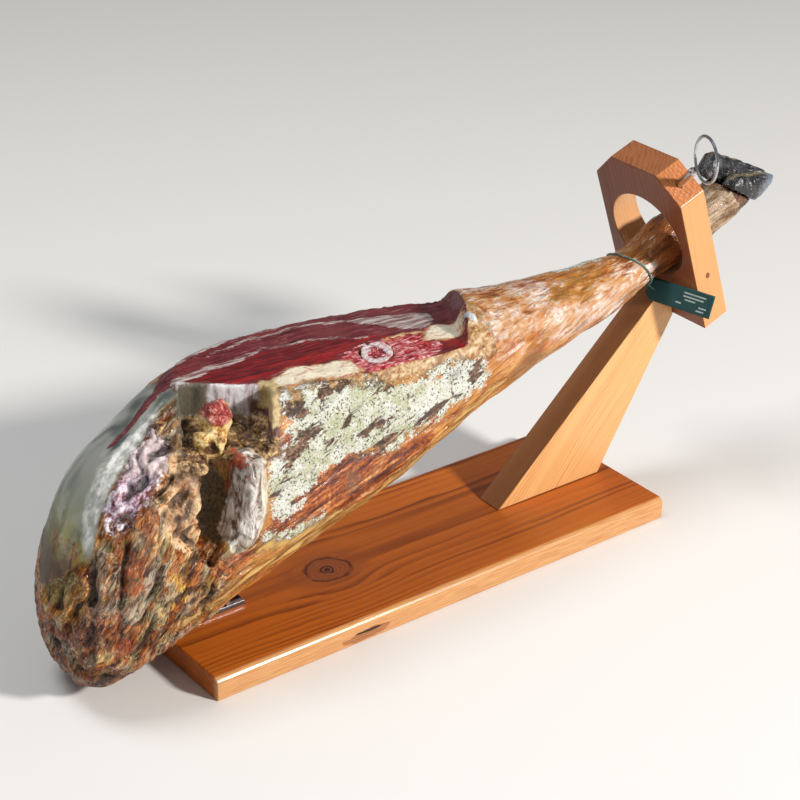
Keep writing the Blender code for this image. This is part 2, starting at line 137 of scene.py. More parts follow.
def length_setting(name, about, metres):
    return bpy.props.FloatProperty(
        name=name, description=about, default=metres,
        min=0.0, subtype="DISTANCE", unit="LENGTH", precision=4,
    )


class HamLook(bpy.types.PropertyGroup):
    """Sizes and colours of the meat, rind, bones and hoof."""

    grain: length_setting("Mesh grain", "Size of the ham's mesh cells", 0.0021)
    wrinkle: length_setting("Wrinkle depth", "Height of the rind's wrinkles", 0.0013)
    fold: length_setting("Fold depth", "Height of the folds at the butt", 0.0034)
    fibre: length_setting("Fibre depth", "Height of the fibres on the cut", 0.00035)
    lean: colour_setting("Lean", "Dark lean meat on the cut", 92, 30, 34)
    lean_light: colour_setting("Lean streaks", "Paler fibres in it", 142, 74, 76)
    red: colour_setting("Moist lean", "Bright lean near the rind", 150, 20, 20)
    fat: colour_setting("Fat", "Pale fat on the cut", 196, 190, 182)
    cream: colour_setting("Cream fat", "Firm fat beside the bone", 236, 226, 200)
    mould: colour_setting("Mould", "White bloom on the near side", 213, 215, 204)
    amber: colour_setting("Amber", "Shiny bare rind", 142, 66, 22)
    skin: colour_setting("Skin", "Dry tan skin", 180, 114, 46)


class StandLook(bpy.types.PropertyGroup):
    """Colours and sizes of the wood, steel, tag and string."""

    board: colour_setting("Board", "Varnished board", 188, 99, 26)
    board_dark: colour_setting("Board grain", "Dark rings of the board", 112, 50, 12)
    post: colour_setting("Post", "Pale post", 222, 170, 112)
    post_dark: colour_setting("Post grain", "Rings of the post", 196, 132, 72)
    plate: colour_setting("Plate", "Head plate", 202, 132, 80)
    plate_dark: colour_setting("Plate grain", "Rings of the plate", 150, 82, 40)
    steel: colour_setting("Steel", "Bright plated steel", 205, 208, 212)
    tag: colour_setting("Tag", "Dark green card", 14, 70, 72)
    string: colour_setting("String", "Green cord", 78, 128, 118)
    bar: length_setting("Bar height", "Height of the pale bars on the tag", 0.0016)


# ------------------------------------------------------------------ materials


# name, dark colour, pale colour, raggedness, softness in mm, and how fully it covers
BUTT_MARKS = (
    ("lumps", (150, 94, 58), (222, 184, 142), 16.0, 2.5, 0.85),
    ("ridge", (140, 66, 14), (226, 170, 70), 34.0, 2.5, 0.85),
    ("grey", (80, 66, 56), (198, 184, 162), 40.0, 4.0, 0.75),
    ("umber", (44, 18, 8), (158, 76, 26), 44.0, 3.0, 0.85),
    ("green", (78, 80, 34), (152, 150, 92), 30.0, 3.0, 0.75),
    ("brick", (92, 24, 10), (184, 84, 46), 30.0, 3.0, 0.8),
    ("gold", (158, 88, 18), (236, 196, 96), 40.0, 2.5, 0.85),
)


def linear(colour):
    """A colour as Blender reads it. Three whole numbers are display steps from 0 to 255."""
    if all(isinstance(value, int) for value in colour):
        return tone(*colour)
    return tuple(colour[:3])


class Value:
    """What a node gives, which adds and multiplies by plain signs."""

    def __init__(self, recipe, socket):
        self.recipe = recipe
        self.socket = socket

    def __add__(self, other):
        return self.recipe.math("ADD", self, other)

    def __sub__(self, number):
        return self + -number

    def __mul__(self, other):
        return self.recipe.math("MULTIPLY", self, other)

    __radd__ = __add__
    __rmul__ = __mul__


class Recipe:
    """One material, laid on coat by coat."""

    def __init__(self, name, **sockets):
        self.material = bpy.data.materials.new(name)
        self.material.use_nodes = True
        self.tree = self.material.node_tree
        self.shader = self.tree.nodes["Principled BSDF"]
        self.place = self.read("ShaderNodeTexCoord", output="Object")
        for label, value in sockets.items():
            self.shader.inputs[label.replace("_", " ")].default_value = value
        self.colour = (0.5, 0.5, 0.5)
        self.rough = 0.5
        self.height = 0.0

    def add(self, kind, inputs=(), **settings):
        node = self.tree.nodes.new(kind)
        for key, value in settings.items():
            setattr(node, key, value)
        for socket, value in inputs:
            self.put(node.inputs[socket], value)
        return node

    def read(self, kind, inputs=(), output=0, **settings):
        """Adds a node and gives one of its outputs."""
        return Value(self, self.add(kind, inputs, **settings).outputs[output])

    def put(self, socket, value):
        if isinstance(value, Value):
            self.tree.links.new(value.socket, socket)
        elif socket.type == "RGBA":
            socket.default_value = (*linear(value), 1.0)
        else:
            socket.default_value = value

    def math(self, operation, a, b=0.0, clamp=False):
        return self.read("ShaderNodeMath", [(0, a), (1, b)], operation=operation, use_clamp=clamp)

    def moved(self, place=None, shift=(0, 0, 0), turn=(0, 0, 0), scale=(1, 1, 1)):
        inputs = [("Vector", place or self.place), ("Location", shift)]
        inputs += [("Rotation", turn), ("Scale", scale)]
        return self.read("ShaderNodeMapping", inputs)

    def sides(self, place=None):
        node = self.add("ShaderNodeSeparateXYZ", [("Vector", place or self.place)])
        return [Value(self, socket) for socket in node.outputs]

    def noise(self, size, detail=2.0, rough=0.55, place=None, twist=0.0, shift=0.0):
        sizes = size if isinstance(size, tuple) else (size,) * 3
        at = self.moved(place, (shift, 0, 0), scale=[1 / s for s in sizes])
        inputs = [("Vector", at), ("Scale", 1.0), ("Detail", detail)]
        inputs += [("Roughness", rough), ("Distortion", twist)]
        return self.read("ShaderNodeTexNoise", inputs)

    def cells(self, size):
        at = self.moved(scale=[1 / size] * 3)
        return self.read("ShaderNodeTexVoronoi", [("Vector", at), ("Scale", 1.0)], "Distance")

    def attribute(self, name):
        return self.read("ShaderNodeAttribute", output="Fac", attribute_name=name)

    def between(self, value, low, high):
        """0 below low and 1 above high, or the other way round, with a soft rise."""
        ends = (1.0, 0.0) if low > high else (0.0, 1.0)
        inputs = [("Value", value), ("From Min", min(low, high))]
        inputs += [("From Max", max(low, high)), ("To Min", ends[0]), ("To Max", ends[1])]
        return self.read("ShaderNodeMapRange", inputs, interpolation_type="SMOOTHSTEP")

    def mix(self, share, first, second):
        """One colour turning into another by share."""
        node = self.add("ShaderNodeMix", data_type="RGBA")
        for index, colour in ((0, share), (6, first), (7, second)):
            self.put(node.inputs[index], colour)
        return Value(self, node.outputs[2])

    def fade(self, value, low, high, first, second):
        """One colour turning into another as a value goes from low to high."""
        return self.mix(self.between(value, low, high), first, second)

    def blend(self, share, first, second):
        """One number turning into another by share."""
        node = self.add("ShaderNodeMix", data_type="FLOAT")
        for index, number in ((0, share), (2, first), (3, second)):
            self.put(node.inputs[index], number)
        return Value(self, node.outputs[0])

    def shades(self, value, *stops):
        """A colour read along a run of (place, colour) stops."""
        node = self.add("ShaderNodeValToRGB")
        ramp = node.color_ramp
        while len(ramp.elements) < len(stops):
            ramp.elements.new(0.5)
        for element, (at, colour) in zip(ramp.elements, stops):
            element.position = at
            element.color = (*linear(colour), 1.0)
        self.put(node.inputs[0], value)
        return Value(self, node.outputs[0])

    def coat(self, share, colour=None, rough=None, height=None):
        """Lays a coat over what is there, where share says."""
        if colour is not None:
            self.colour = self.mix(share, self.colour, colour)
        if rough is not None:
            self.rough = self.blend(share, self.rough, rough)
        if height is not None:
            self.height = self.blend(share, self.height, height)

    def zone(self, name, ragged, amount, soft=0.6):
        """How much of a coat shows: by the distance inside its zone, with a ragged rim."""
        edge = (ragged - 0.5) * amount
        return self.between(self.attribute(name) + edge, -soft, soft)

    def done(self):
        inputs = [("Height", self.height), ("Distance", 1.0), ("Strength", 1.0)]
        bump = self.read("ShaderNodeBump", inputs)
        finish = {"Base Color": self.colour, "Roughness": self.rough}
        finish.update({"Normal": bump, "Coat Normal": bump})
        for name, value in finish.items():
            self.put(self.shader.inputs[name], value)
        return self.material


def ham_patterns(r):
    """The noises and turned places that several coats share."""
    r.fine = r.noise(0.0032, 4.0, 0.62)
    r.patch = r.noise(0.01, 4.0, 0.62)
    r.wide = r.noise(0.032, 4.0, 0.6, shift=3.0)
    r.broad = r.noise(0.08, 3.0, 0.55, shift=7.0)
    r.ragged = r.patch * 0.55 + r.fine * 0.45
    r.right, _, r.high = r.sides()
    r.limb = r.moved(turn=(0, math.radians(17), 0))
    r.steep = r.moved(turn=(0, math.radians(57), 0))
    r.streak = r.noise((0.044, 0.006, 0.0055), 5.0, 0.64, r.limb)
    r.hair = r.noise((0.02, 0.0015, 0.0015), 3.0, 0.6, r.limb)
    r.strand = r.noise((0.06, 0.0038, 0.0038), 4.0, 0.62)
    r.thread = r.noise((0.024, 0.0011, 0.0011), 3.0, 0.6)
    r.relief = r.attribute("relief")
    r.silk = r.noise((0.042, 0.0095, 0.0095), 3.0, 0.52, r.limb, 0.7)
    r.curl = r.noise((0.034, 0.0046, 0.0046), 3.0, 0.55, r.limb, 0.5, 5.0)


def skin_coats(r):
    """Dry skin of the shank and of the far side."""
    r.colour = r.shades(
        r.silk * 0.75 + r.curl * 0.25, (0.36, (104, 48, 14)), (0.44, (156, 88, 30)), (0.5, r.look.skin),
        (0.56, (196, 146, 74)), (0.66, (220, 192, 138)),
    )
    r.coat(r.between(r.broad, 0.44, 0.6) * 0.55, r.mix(r.silk, (120, 82, 30), (184, 148, 76)))
    r.rough = r.blend(r.patch, 0.18, 0.36)
    crease = r.math("ABSOLUTE", r.noise((0.05, 0.007, 0.007), 3.0, 0.5, r.limb, 0.9, 9.0) - 0.5)
    r.height = r.curl * 0.002 + (r.fine * 0.0003 + crease * 0.0036)
    r.coat(r.between(crease, 0.012, 0.0) * 0.5, (150, 80, 34))
    rust = r.zone("rust", r.silk * 0.7 + r.curl * 0.3, 70.0, 8.0)
    r.coat(rust * 0.75, r.fade(r.silk, 0.35, 0.65, (118, 42, 14), (192, 100, 38)), 0.2)
    # painted shadow: the shank is darkened where it runs through the head plate
    plate_shadow = r.between(r.right, 0.262, 0.275) * r.between(r.right, 0.335, 0.315)
    r.coat(plate_shadow * 0.75, r.fade(r.silk, 0.35, 0.65, (66, 26, 15), (142, 78, 38)), 0.18)
    frost = r.silk * 0.4 + (r.curl * 0.3 + r.wide * 0.3)
    bloom = r.zone("bloom", frost, 110.0, 8.0)
    bloom_tone = r.shades(
        r.curl * 0.4 + (r.patch * 0.3 + r.wide * 0.3), (0.4, (182, 116, 62)), (0.47, (196, 150, 110)),
        (0.53, (204, 182, 164)), (0.6, (236, 230, 224)),
    )
    r.coat(bloom * 0.85, bloom_tone, 0.22)
    r.coat(r.between(crease, 0.016, 0.002) * bloom * 0.55, (196, 118, 62))
    foot_tone = r.shades(
        r.streak * 0.5 + r.ragged * 0.5, (0.36, (60, 34, 20)), (0.44, (124, 90, 58)),
        (0.51, (160, 138, 112)), (0.64, (206, 194, 176)),
    )
    r.coat(r.zone("foot", r.ragged, 16.0, 4.0), foot_tone, 0.36)
    r.coat(
        r.zone("crack", r.ragged, 26.0, 1.0) * 0.92, r.mix(r.fine, (20, 14, 12), (84, 54, 36)), 0.5,
        -0.0006,
    )


def butt_coats(r):
    """Wrinkled hide of the butt, with its stains and glints."""
    butt = r.attribute("butt")
    r.furrow = r.noise((0.034, 0.0095, 0.0095), 4.0, 0.6, r.steep, 0.7)
    r.ripple = r.noise((0.013, 0.0036, 0.0036), 3.0, 0.58, r.steep, 0.8)
    hide = r.shades(
        r.furrow * 0.75 + r.ripple * 0.25, (0.37, (32, 14, 6)), (0.43, (88, 42, 15)),
        (0.49, (150, 80, 26)), (0.545, (178, 124, 60)), (0.62, (224, 196, 146)),
    )
    greyed = r.between(r.noise((0.036, 0.015, 0.015), 3.0, 0.55, r.steep, shift=4.0), 0.5, 0.57)
    hide = r.mix(greyed * 0.8, hide, r.fade(r.ripple, 0.32, 0.68, (62, 44, 34), (192, 176, 150)))
    olive = r.between(r.noise((0.03, 0.015, 0.015), 3.0, 0.55, r.steep, shift=14.0), 0.55, 0.62)
    hide = r.mix(olive * 0.7, hide, r.fade(r.ripple, 0.32, 0.68, (52, 44, 18), (158, 146, 86)))
    orange = r.between(r.noise((0.036, 0.013, 0.013), 3.0, 0.55, r.steep, shift=24.0), 0.53, 0.6)
    hide = r.mix(orange * 0.8, hide, r.fade(r.ripple, 0.32, 0.68, (110, 38, 10), (214, 126, 44)))
    low = r.between(r.high, 0.058, 0.026)
    hide = r.mix(low * 0.75, hide, r.fade(r.ripple, 0.32, 0.68, (40, 16, 8), (150, 80, 30)))
    slit = r.between(
        r.math("ABSOLUTE", r.noise((0.04, 0.011, 0.011), 4.0, 0.6, r.steep, 1.0, 33.0) - 0.5), 0.016, 0.0
    )
    hide = r.mix(slit * 0.8, hide, (44, 20, 10))
    glint = r.math("ABSOLUTE", r.noise((0.024, 0.006, 0.006), 3.0, 0.6, r.steep, 0.8, 51.0) - 0.5)
    glint = r.between(glint, 0.01, 0.002) * r.between(r.noise(0.013, 3.0, shift=61.0), 0.5, 0.6)
    hide = r.mix(glint * 0.85, hide, (238, 222, 192))
    wet = r.between(r.noise((0.02, 0.008, 0.008), 3.0, 0.6, r.steep, shift=41.0), 0.44, 0.58)
    butt_up = r.ripple * 0.0042 + r.fine * 0.0008 + slit * -0.0009
    r.coat(butt, hide, r.blend(wet, 0.40, 0.10), butt_up)
    crumb = r.zone("crumb", r.ragged, 50.0, 2.5)
    crumb_tone = r.shades(
        r.patch * 0.6 + r.fine * 0.4, (0.39, (42, 23, 11)), (0.45, (158, 108, 64)),
        (0.51, (222, 178, 128)), (0.6, (242, 224, 188)),
    )
    r.coat(crumb, crumb_tone, r.blend(wet, 0.42, 0.14), r.patch * 0.0045)
    for name, dark, pale, amount, soft, share in BUTT_MARKS:
        mark = r.zone(name, r.ragged, amount, soft)
        tones = r.fade(r.ripple, 0.34, 0.66, dark, pale)
        tones = r.mix(glint * 0.7, tones, (240, 228, 204))
        r.coat(mark * share, tones, r.blend(wet, 0.36, 0.12))


def band_coats(r):
    """Fat band, smear, facet and purple lean at the butt."""
    band = r.zone("fat_band", r.ragged, 16.0, 2.0)
    leaning = r.moved(turn=(0, math.radians(-25), 0))
    slab = r.noise((0.016, 0.022, 0.090), 1.0, 0.5, leaning)
    band_tone = r.fade(slab, 0.36, 0.64, (88, 96, 88), (148, 151, 134))
    low_band = r.between(r.high, 0.172, 0.125)
    band_tone = r.mix(
        r.between(r.high, 0.16, 0.196) * 0.35, band_tone,
        r.fade(slab, 0.36, 0.64, (96, 100, 98), (198, 194, 194)),
    )
    band_tone = r.mix(low_band, band_tone, r.fade(slab, 0.38, 0.62, (92, 88, 34), (160, 150, 78)))
    band_tone = r.mix(r.zone("band_line", r.fine, 3.0, 1.5) * 0.7, band_tone, (150, 116, 52))
    band_tone = r.mix(r.between(r.wide, 0.5, 0.62) * 0.4, band_tone, (180, 180, 166))
    # painted shade: the band's low end is darkened to brown
    band_tone = r.mix(r.between(r.high + r.patch * 0.03, 0.156, 0.134) * 0.9, band_tone, (70, 40, 16))
    r.coat(band, band_tone, r.blend(r.patch, 0.26, 0.42), slab * 0.001 + r.fine * 0.0002)
    smear = r.zone("smear", r.furrow * 0.5 + r.fine * 0.5, 30.0, 3.0)
    r.coat(smear * 0.9, r.fade(r.ripple, 0.35, 0.65, (70, 34, 14), (178, 108, 48)), 0.3, r.fine * 0.001)
    drawn = r.noise((0.006, 0.006, 0.030), 3.0, 0.6)
    facet = r.zone("facet", r.patch, 9.0, 3.0)
    r.coat(facet, r.fade(drawn, 0.35, 0.65, (170, 172, 166), (230, 228, 220)), 0.38, drawn * 0.0008)
    purple = r.zone("purple", r.ragged, 40.0, 2.5)
    flesh = r.noise((0.011, 0.005, 0.005), 4.0, 0.62, r.steep, 0.5, 17.0) * 0.6 + r.fine * 0.4
    purple_tone = r.shades(
        flesh, (0.4, (84, 38, 44)), (0.46, (160, 120, 138)), (0.53, (206, 188, 202)),
        (0.6, (242, 236, 238)),
    )
    purple_tone = r.mix(
        r.between(r.high, 0.186, 0.2) * 0.55, purple_tone, r.mix(r.fine, (196, 168, 160), (238, 228, 220))
    )
    r.coat(purple, purple_tone, 0.24, flesh * 0.0026)


def amber_coats(r):
    """Shiny amber rind, its fat strips and its rim."""
    amber = r.zone("amber", r.streak * 0.4 + r.ragged * 0.6, 60.0, 2.5)
    amber_tone = r.shades(
        r.streak * 0.7 + r.fine * 0.3, (0.38, (34, 14, 8)), (0.45, (92, 36, 12)), (0.51, r.look.amber),
        (0.57, (186, 108, 40)), (0.66, (214, 182, 140)),
    )
    amber_tone = r.mix(
        r.between(r.wide, 0.5, 0.62) * 0.55, amber_tone, r.mix(r.fine, (66, 36, 22), (150, 110, 80))
    )
    r.coat(amber, amber_tone, r.blend(r.patch, 0.1, 0.3), r.curl * 0.0022 + r.fine * 0.0007)
    strip = r.zone("fat_strip", r.streak * 0.5 + r.fine * 0.5, 44.0, 3.0)
    strip_tone = r.fade(r.streak, 0.4, 0.6, (118, 72, 28), (198, 162, 98))
    r.coat(strip * 0.9, strip_tone, 0.34, r.hair * 0.0009)
    rim = r.zone("rim", r.ragged, 30.0, 2.0)
    rim_tone = r.shades(
        r.streak * 0.5 + r.fine * 0.5, (0.38, (112, 76, 44)), (0.47, (160, 120, 78)),
        (0.55, (190, 160, 120)), (0.66, (218, 202, 172)),
    )
    r.coat(rim, rim_tone, 0.34, r.fine * 0.0008)


def mould_coats(r):
    """Mould, with worn spots where the rind shows through."""
    crust = r.noise(0.0019, 4.0, 0.68, shift=13.0)
    edge = r.streak * 0.3 + (r.patch * 0.4 + crust * 0.3)
    mould = r.zone("mould", edge, 66.0, 1.6)
    mould_tone = r.fade(r.wide, 0.42, 0.58, r.look.mould, (184, 187, 156))
    mould_tone = r.mix(r.between(r.patch, 0.5, 0.66) * 0.6, mould_tone, (172, 156, 128))
    mould_tone = r.mix(
        r.between(crust * 0.5 + r.patch * 0.5, 0.48, 0.6) * 0.9, mould_tone, (224, 227, 221)
    )
    mould_tone = r.mix(r.between(crust, 0.44, 0.34) * 0.6, mould_tone, (132, 118, 88))
    speck = r.noise(0.0021, 3.0, 0.66, r.limb, shift=6.0)
    mould_tone = r.mix(r.between(speck, 0.585, 0.625) * 0.9, mould_tone, (58, 46, 32))
    thick = r.between(r.noise(0.016, 3.0, 0.55, shift=21.0), 0.42, 0.56)
    pore = r.between(r.cells(0.0033) + (crust - 0.5) * 0.9, 0.3, 0.2) * thick
    mould_tone = r.mix(pore * 0.85, mould_tone, (44, 36, 26))
    bias = r.math("MAXIMUM", r.attribute("bare"), -10.0) * 0.0145
    worn = r.noise((0.017, 0.0085, 0.006), 5.0, 0.68, r.limb, 0.9, 2.0) + bias
    worn = r.between(worn, 0.51, 0.555)
    worn_tone = r.shades(
        r.fine * 0.5 + r.streak * 0.5, (0.38, (16, 10, 8)), (0.46, (48, 27, 20)), (0.53, (100, 62, 44)),
        (0.64, (172, 138, 106)),
    )
    mould_tone = r.mix(worn * 0.94, mould_tone, worn_tone)
    mould_up = crust * 0.0014 + (r.fine * 0.0012 + pore * -0.0005)
    r.coat(mould, mould_tone, r.blend(worn, 0.75, 0.32), mould_up)


def cut_coats(r):
    """The carved face: lean, veins, red and rose meat, fat and the pale lump."""
    cut = r.zone("cut", r.fine, 1.4, 0.5)
    warp = r.thread * 0.5 + r.strand * 0.5
    lean_tone = r.shades(
        warp, (0.36, (50, 10, 14)), (0.46, r.look.lean), (0.54, (112, 36, 42)), (0.66, r.look.lean_light)
    )
    lean_tone = r.mix(
        r.between(r.wide, 0.42, 0.62) * 0.6, lean_tone, r.mix(warp, (70, 18, 22), (150, 78, 78))
    )
    vein = r.between(r.noise((0.040, 0.0022, 0.0022), 4.0, 0.6, shift=9.0), 0.60, 0.67)
    lean_tone = r.mix(vein * 0.6, lean_tone, (184, 142, 138))
    r.coat(cut, lean_tone, 0.36, r.thread * 0.001)
    deep = r.zone("deep", warp, 14.0, 1.5) * cut
    deep_tone = r.shades(
        warp, (0.36, (40, 2, 5)), (0.48, (96, 8, 14)), (0.58, (134, 22, 26)), (0.72, (176, 84, 84))
    )
    r.coat(deep, deep_tone, 0.3, r.thread * 0.0008)
    red = r.zone("red", warp * 0.5 + r.patch * 0.5, 26.0, 3.0) * cut
    r.coat(red, r.fade(warp, 0.35, 0.68, (84, 2, 6), (172, 20, 20)), 0.24)
    marbled = r.noise((0.015, 0.0042, 0.0042), 5.0, 0.70, twist=0.9)
    rose = r.zone("rose", marbled * 0.6 + r.patch * 0.4, 36.0, 1.0) * cut
    rose_tone = r.shades(
        marbled * 0.65 + r.fine * 0.35, (0.37, (80, 6, 14)), (0.45, (158, 22, 32)), (0.52, (196, 92, 98)),
        (0.6, (236, 208, 200)),
    )
    r.coat(rose, rose_tone, 0.28, marbled * 0.0012)
    fat = r.zone("fat", warp * 0.6 + r.fine * 0.4, 14.0, 0.8)
    fat_tone = r.fade(warp, 0.38, 0.62, (132, 88, 90), r.look.fat)
    r.coat(fat * r.blend(r.between(r.strand, 0.42, 0.56), 0.35, 0.92), fat_tone, 0.3, r.fine * 0.0005)
    cream = r.zone("cream", marbled * 0.5 + r.ragged * 0.5, 34.0, 1.2)
    cream_tone = r.fade(r.attribute("cream") + r.ragged * 12.0, 6.0, 11.0, (190, 150, 98), r.look.cream)
    cream_tone = r.mix(r.between(marbled, 0.53, 0.6) * 0.7, cream_tone, (180, 62, 58))
    cream_tone = r.mix(r.between(marbled, 0.46, 0.4) * 0.5, cream_tone, (196, 176, 164))
    r.coat(cream, cream_tone, 0.32, r.fine * 0.001)
    lump = r.zone("lump", r.fine, 2.5, 0.6)
    r.coat(lump, r.mix(r.fine, (168, 172, 180), (216, 218, 222)), 0.26)


def hip_coats(r):
    """The hip's notch, and the hollow and the lobe below it."""
    wall = r.zone("hip_wall", r.fine, 1.5, 0.8)
    wall_tone = r.shades(
        r.noise((0.0052, 0.0052, 0.034), 4.0, 0.62), (0.36, (158, 130, 128)), (0.46, (206, 200, 204)),
        (0.56, (222, 222, 226)), (0.7, (206, 184, 186)),
    )
    r.coat(wall, wall_tone, 0.34, r.fine * 0.0008)
    bruise = r.zone("bruise", r.ragged, 12.0, 2.0)
    r.coat(bruise, r.mix(r.fine, (44, 22, 28), (142, 104, 96)), 0.4)
    fringe = r.zone("hip_fringe", r.ragged, 10.0, 1.5)
    r.coat(fringe, r.mix(r.fine, (148, 108, 58), (222, 206, 158)), 0.4, r.fine * 0.0012)
    shade = r.zone("hip_shade", r.ragged, 14.0, 3.5)
    r.coat(shade, r.mix(r.fine * 0.4 + r.patch * 0.6, (30, 28, 22), (120, 112, 96)), 0.42)
    hollow = r.zone("hollow", r.ragged, 10.0, 2.5)
    hollow_tone = r.shades(
        r.patch * 0.5 + r.fine * 0.5, (0.4, (34, 22, 14)), (0.47, (98, 70, 44)), (0.54, (160, 124, 82)),
        (0.62, (222, 192, 142)),
    )
    pit = r.zone("pit", r.ragged, 26.0, 4.0)
    hollow_tone = r.mix(pit * 0.85, hollow_tone, r.mix(r.fine, (30, 24, 17), (116, 98, 72)))
    r.coat(hollow, hollow_tone, r.blend(r.fine, 0.14, 0.38), r.fine * 0.0022)
    lobe = r.zone("lobe", r.ragged, 8.0, 1.2)
    pillow = r.noise((0.0075, 0.0075, 0.020), 3.0, 0.55, twist=0.9)
    lobe_tone = r.shades(
        pillow * 0.75 + r.fine * 0.25, (0.39, (96, 66, 56)), (0.46, (158, 142, 132)),
        (0.54, (198, 190, 182)), (0.64, (236, 232, 224)),
    )
    inward = r.right + (pillow - 0.5) * 0.03
    lobe_tone = r.mix(
        r.between(inward, -0.2, -0.192) * 0.8, lobe_tone, r.mix(pillow, (168, 146, 102), (232, 222, 192))
    )
    low_lobe = r.between(r.high + pillow * 0.03, 0.152, 0.138)
    lobe_tone = r.mix(low_lobe * 0.55, lobe_tone, r.mix(pillow, (74, 64, 40), (178, 166, 124)))
    r.coat(lobe, lobe_tone, 0.24, pillow * 0.0042)
    blood = r.zone("blood", r.ragged, 22.0, 1.2)
    r.coat(blood * 0.9, r.mix(r.fine, (110, 26, 12), (206, 88, 44)), 0.2)


HAM_COATS = (skin_coats, butt_coats, band_coats, amber_coats, mould_coats, cut_coats, hip_coats)


def ham_coats(look):
    """Every coat of the ham, from the dry skin up to the meat of the cut."""
    r = Recipe("ham_rind_and_meat", Coat_Roughness=0.07, Coat_Weight=0.08, Specular_IOR_Level=0.28)
    r.look = look
    ham_patterns(r)
    for lay in HAM_COATS:
        lay(r)
    # painted shade darkens the wrinkles and a painted highlight makes the ridges pale
    r.put(r.shader.inputs["Coat Weight"], r.between(r.rough, 0.4, 0.14) * 0.5)
    r.colour = r.mix(r.between(r.relief, -0.1, -0.7) * 0.85, r.colour, (34, 15, 7))
    r.colour = r.mix(r.between(r.relief, 0.45, 0.95) * 0.12, r.colour, (228, 204, 160))
    return r.done()


def pine_coats(name, pale, dark, turn, shift, pith, ring, knots=(), finish=None):
    """Pine whose fibres run along the X of a turned place, with its pith off to a side."""
    r = Recipe(name, Coat_Weight=0.10, Coat_Roughness=0.16, Specular_IOR_Level=0.35)
    place = r.moved(r.place, shift=shift, turn=turn)
    x, y, z = r.sides(place)
    bend = r.noise((0.30, 0.055, 0.055), 2.0, 0.5, place=place)
    kink = r.noise((0.045, 0.010, 0.010), 3.0, 0.55, place=place)
    y_line = y
    for knot in knots:
        (kx, ky), radius = knot
        u = (x - kx) * (1 / (radius * 1.25))
        v = (y_line - ky) * (1 / radius)
        reach = u * u + v * v
        keep = r.math("SUBTRACT", 1.0, r.math("DIVIDE", 1.0, r.math("MAXIMUM", reach, 1.02)))
        y_line = (y_line - ky) * keep + ky
    y_line = y_line + (bend - 0.5) * 0.03
    y_line = y_line + (kink - 0.5) * 0.0035
    off_y = y_line - pith[0]
    off_z = z - pith[1]
    radius = r.math("SQRT", off_y * off_y + off_z * off_z)
    count = radius * (1 / ring)
    count = count + r.noise((0.5, 0.02, 0.02), 2.0, place=place, shift=5.0) * 1.6
    part = r.math("FRACT", count)
    late = r.between(part, 0.25, 0.86) * r.between(part, 1.0, 0.9)
    strength = r.between(r.noise((0.4, 0.012, 0.012), 1.0, place=place, shift=8.0), 0.36, 0.70)
    fibre = r.noise((0.030, 0.00045, 0.00045), 2.0, 0.6, place=place)
    streak = r.noise((0.12, 0.004, 0.004), 3.0, 0.6, place=place, shift=2.0)
    share = late * (strength * 0.65 + 0.12)
    share = share + (fibre - 0.5) * 0.3
    share = share + (streak - 0.4) * 0.55
    r.colour = r.mix(r.math("MULTIPLY", share, 1.0, True), pale, dark)
    r.rough = r.blend(streak, 0.26, 0.42)
    r.height = fibre * 0.00005 + late * 0.00008
    if finish:
        finish(r, x, y, z, fibre)
    return r.done()


def board_finish(r, x, y, z, fibre):
    """Knots on the board's top and front, and a painted highlight that makes its front face paler."""
    wobble = r.noise(0.012, 4.0, 0.6)
    u = (x - BOARD_KNOT[0]) * (1 / 0.0215)
    v = (y - BOARD_KNOT[1]) * (1 / 0.0175)
    reach = r.math("SQRT", u * u + v * v)
    reach = reach + (wobble - 0.5) * 0.55
    inside = r.between(reach, 1.10, 0.94)
    rings = r.math("SINE", reach * 34.0)
    knot_tone = r.mix(r.between(rings, -0.6, 0.9) * 0.5, (152, 82, 38), (116, 58, 26))
    top = r.between(z, 0.010, 0.014)
    r.coat(r.between(reach, 2.6, 1.1) * 0.45, (142, 76, 34))
    r.coat(inside * top, knot_tone)
    rim = r.between(reach, 0.86, 0.97) * r.between(reach, 1.14, 1.02)
    rim = rim * r.between(r.noise(0.016, 2.0, shift=3.0), 0.3, 0.5)
    r.coat(rim * top * 0.8, (78, 34, 14))
    core = r.between(reach, 0.17, 0.24) * r.between(reach, 0.36, 0.28)
    r.coat(core * top * 0.95, (62, 28, 16))
    r.coat(r.between(reach, 0.15, 0.09) * top, (70, 32, 18))
    # painted highlight: the front face is coloured paler than the top, for the light that falls on it
    front = r.between(y, -0.0785, -0.0815)
    lit_front_tone = r.fade(fibre, 0.4, 0.62, (212, 166, 114), (188, 132, 78))
    r.coat(front * 0.85, lit_front_tone, 0.22)
    u = (x + 0.107 + z * -1.2) * (1 / 0.024)
    v = (z - 0.0065) * (1 / 0.005)
    reach = r.math("SQRT", u * u + v * v) + (wobble - 0.5) * 1.1
    bark = r.between(reach, 1.05, 0.9) * front
    r.coat(bark * 0.7, r.fade(fibre, 0.4, 0.6, (168, 96, 50), (122, 64, 34)), 0.5)
    v = (z - 0.0095) * (1 / 0.0016)
    u = (x + 0.098) * (1 / 0.014)
    reach = u * u + v * v + (wobble - 0.5) * 1.6
    gap = r.between(reach, 1.0, 0.6) * front
    r.coat(gap, (52, 34, 26), 0.7)
    r.height = r.height + gap * -0.0006


def post_painted_shade(r, x, y, z, fibre):
    """Painted shade on the post's upper side."""
    x, _, z = r.sides()
    above = x * -0.682 + z * 0.731 + 0.0574
    # painted shade: the upper side, which the ham shades, is darkened
    r.coat(r.between(above, -0.0006, -0.0001) * 0.55, r.mix(fibre, (110, 48, 20), (150, 78, 38)))


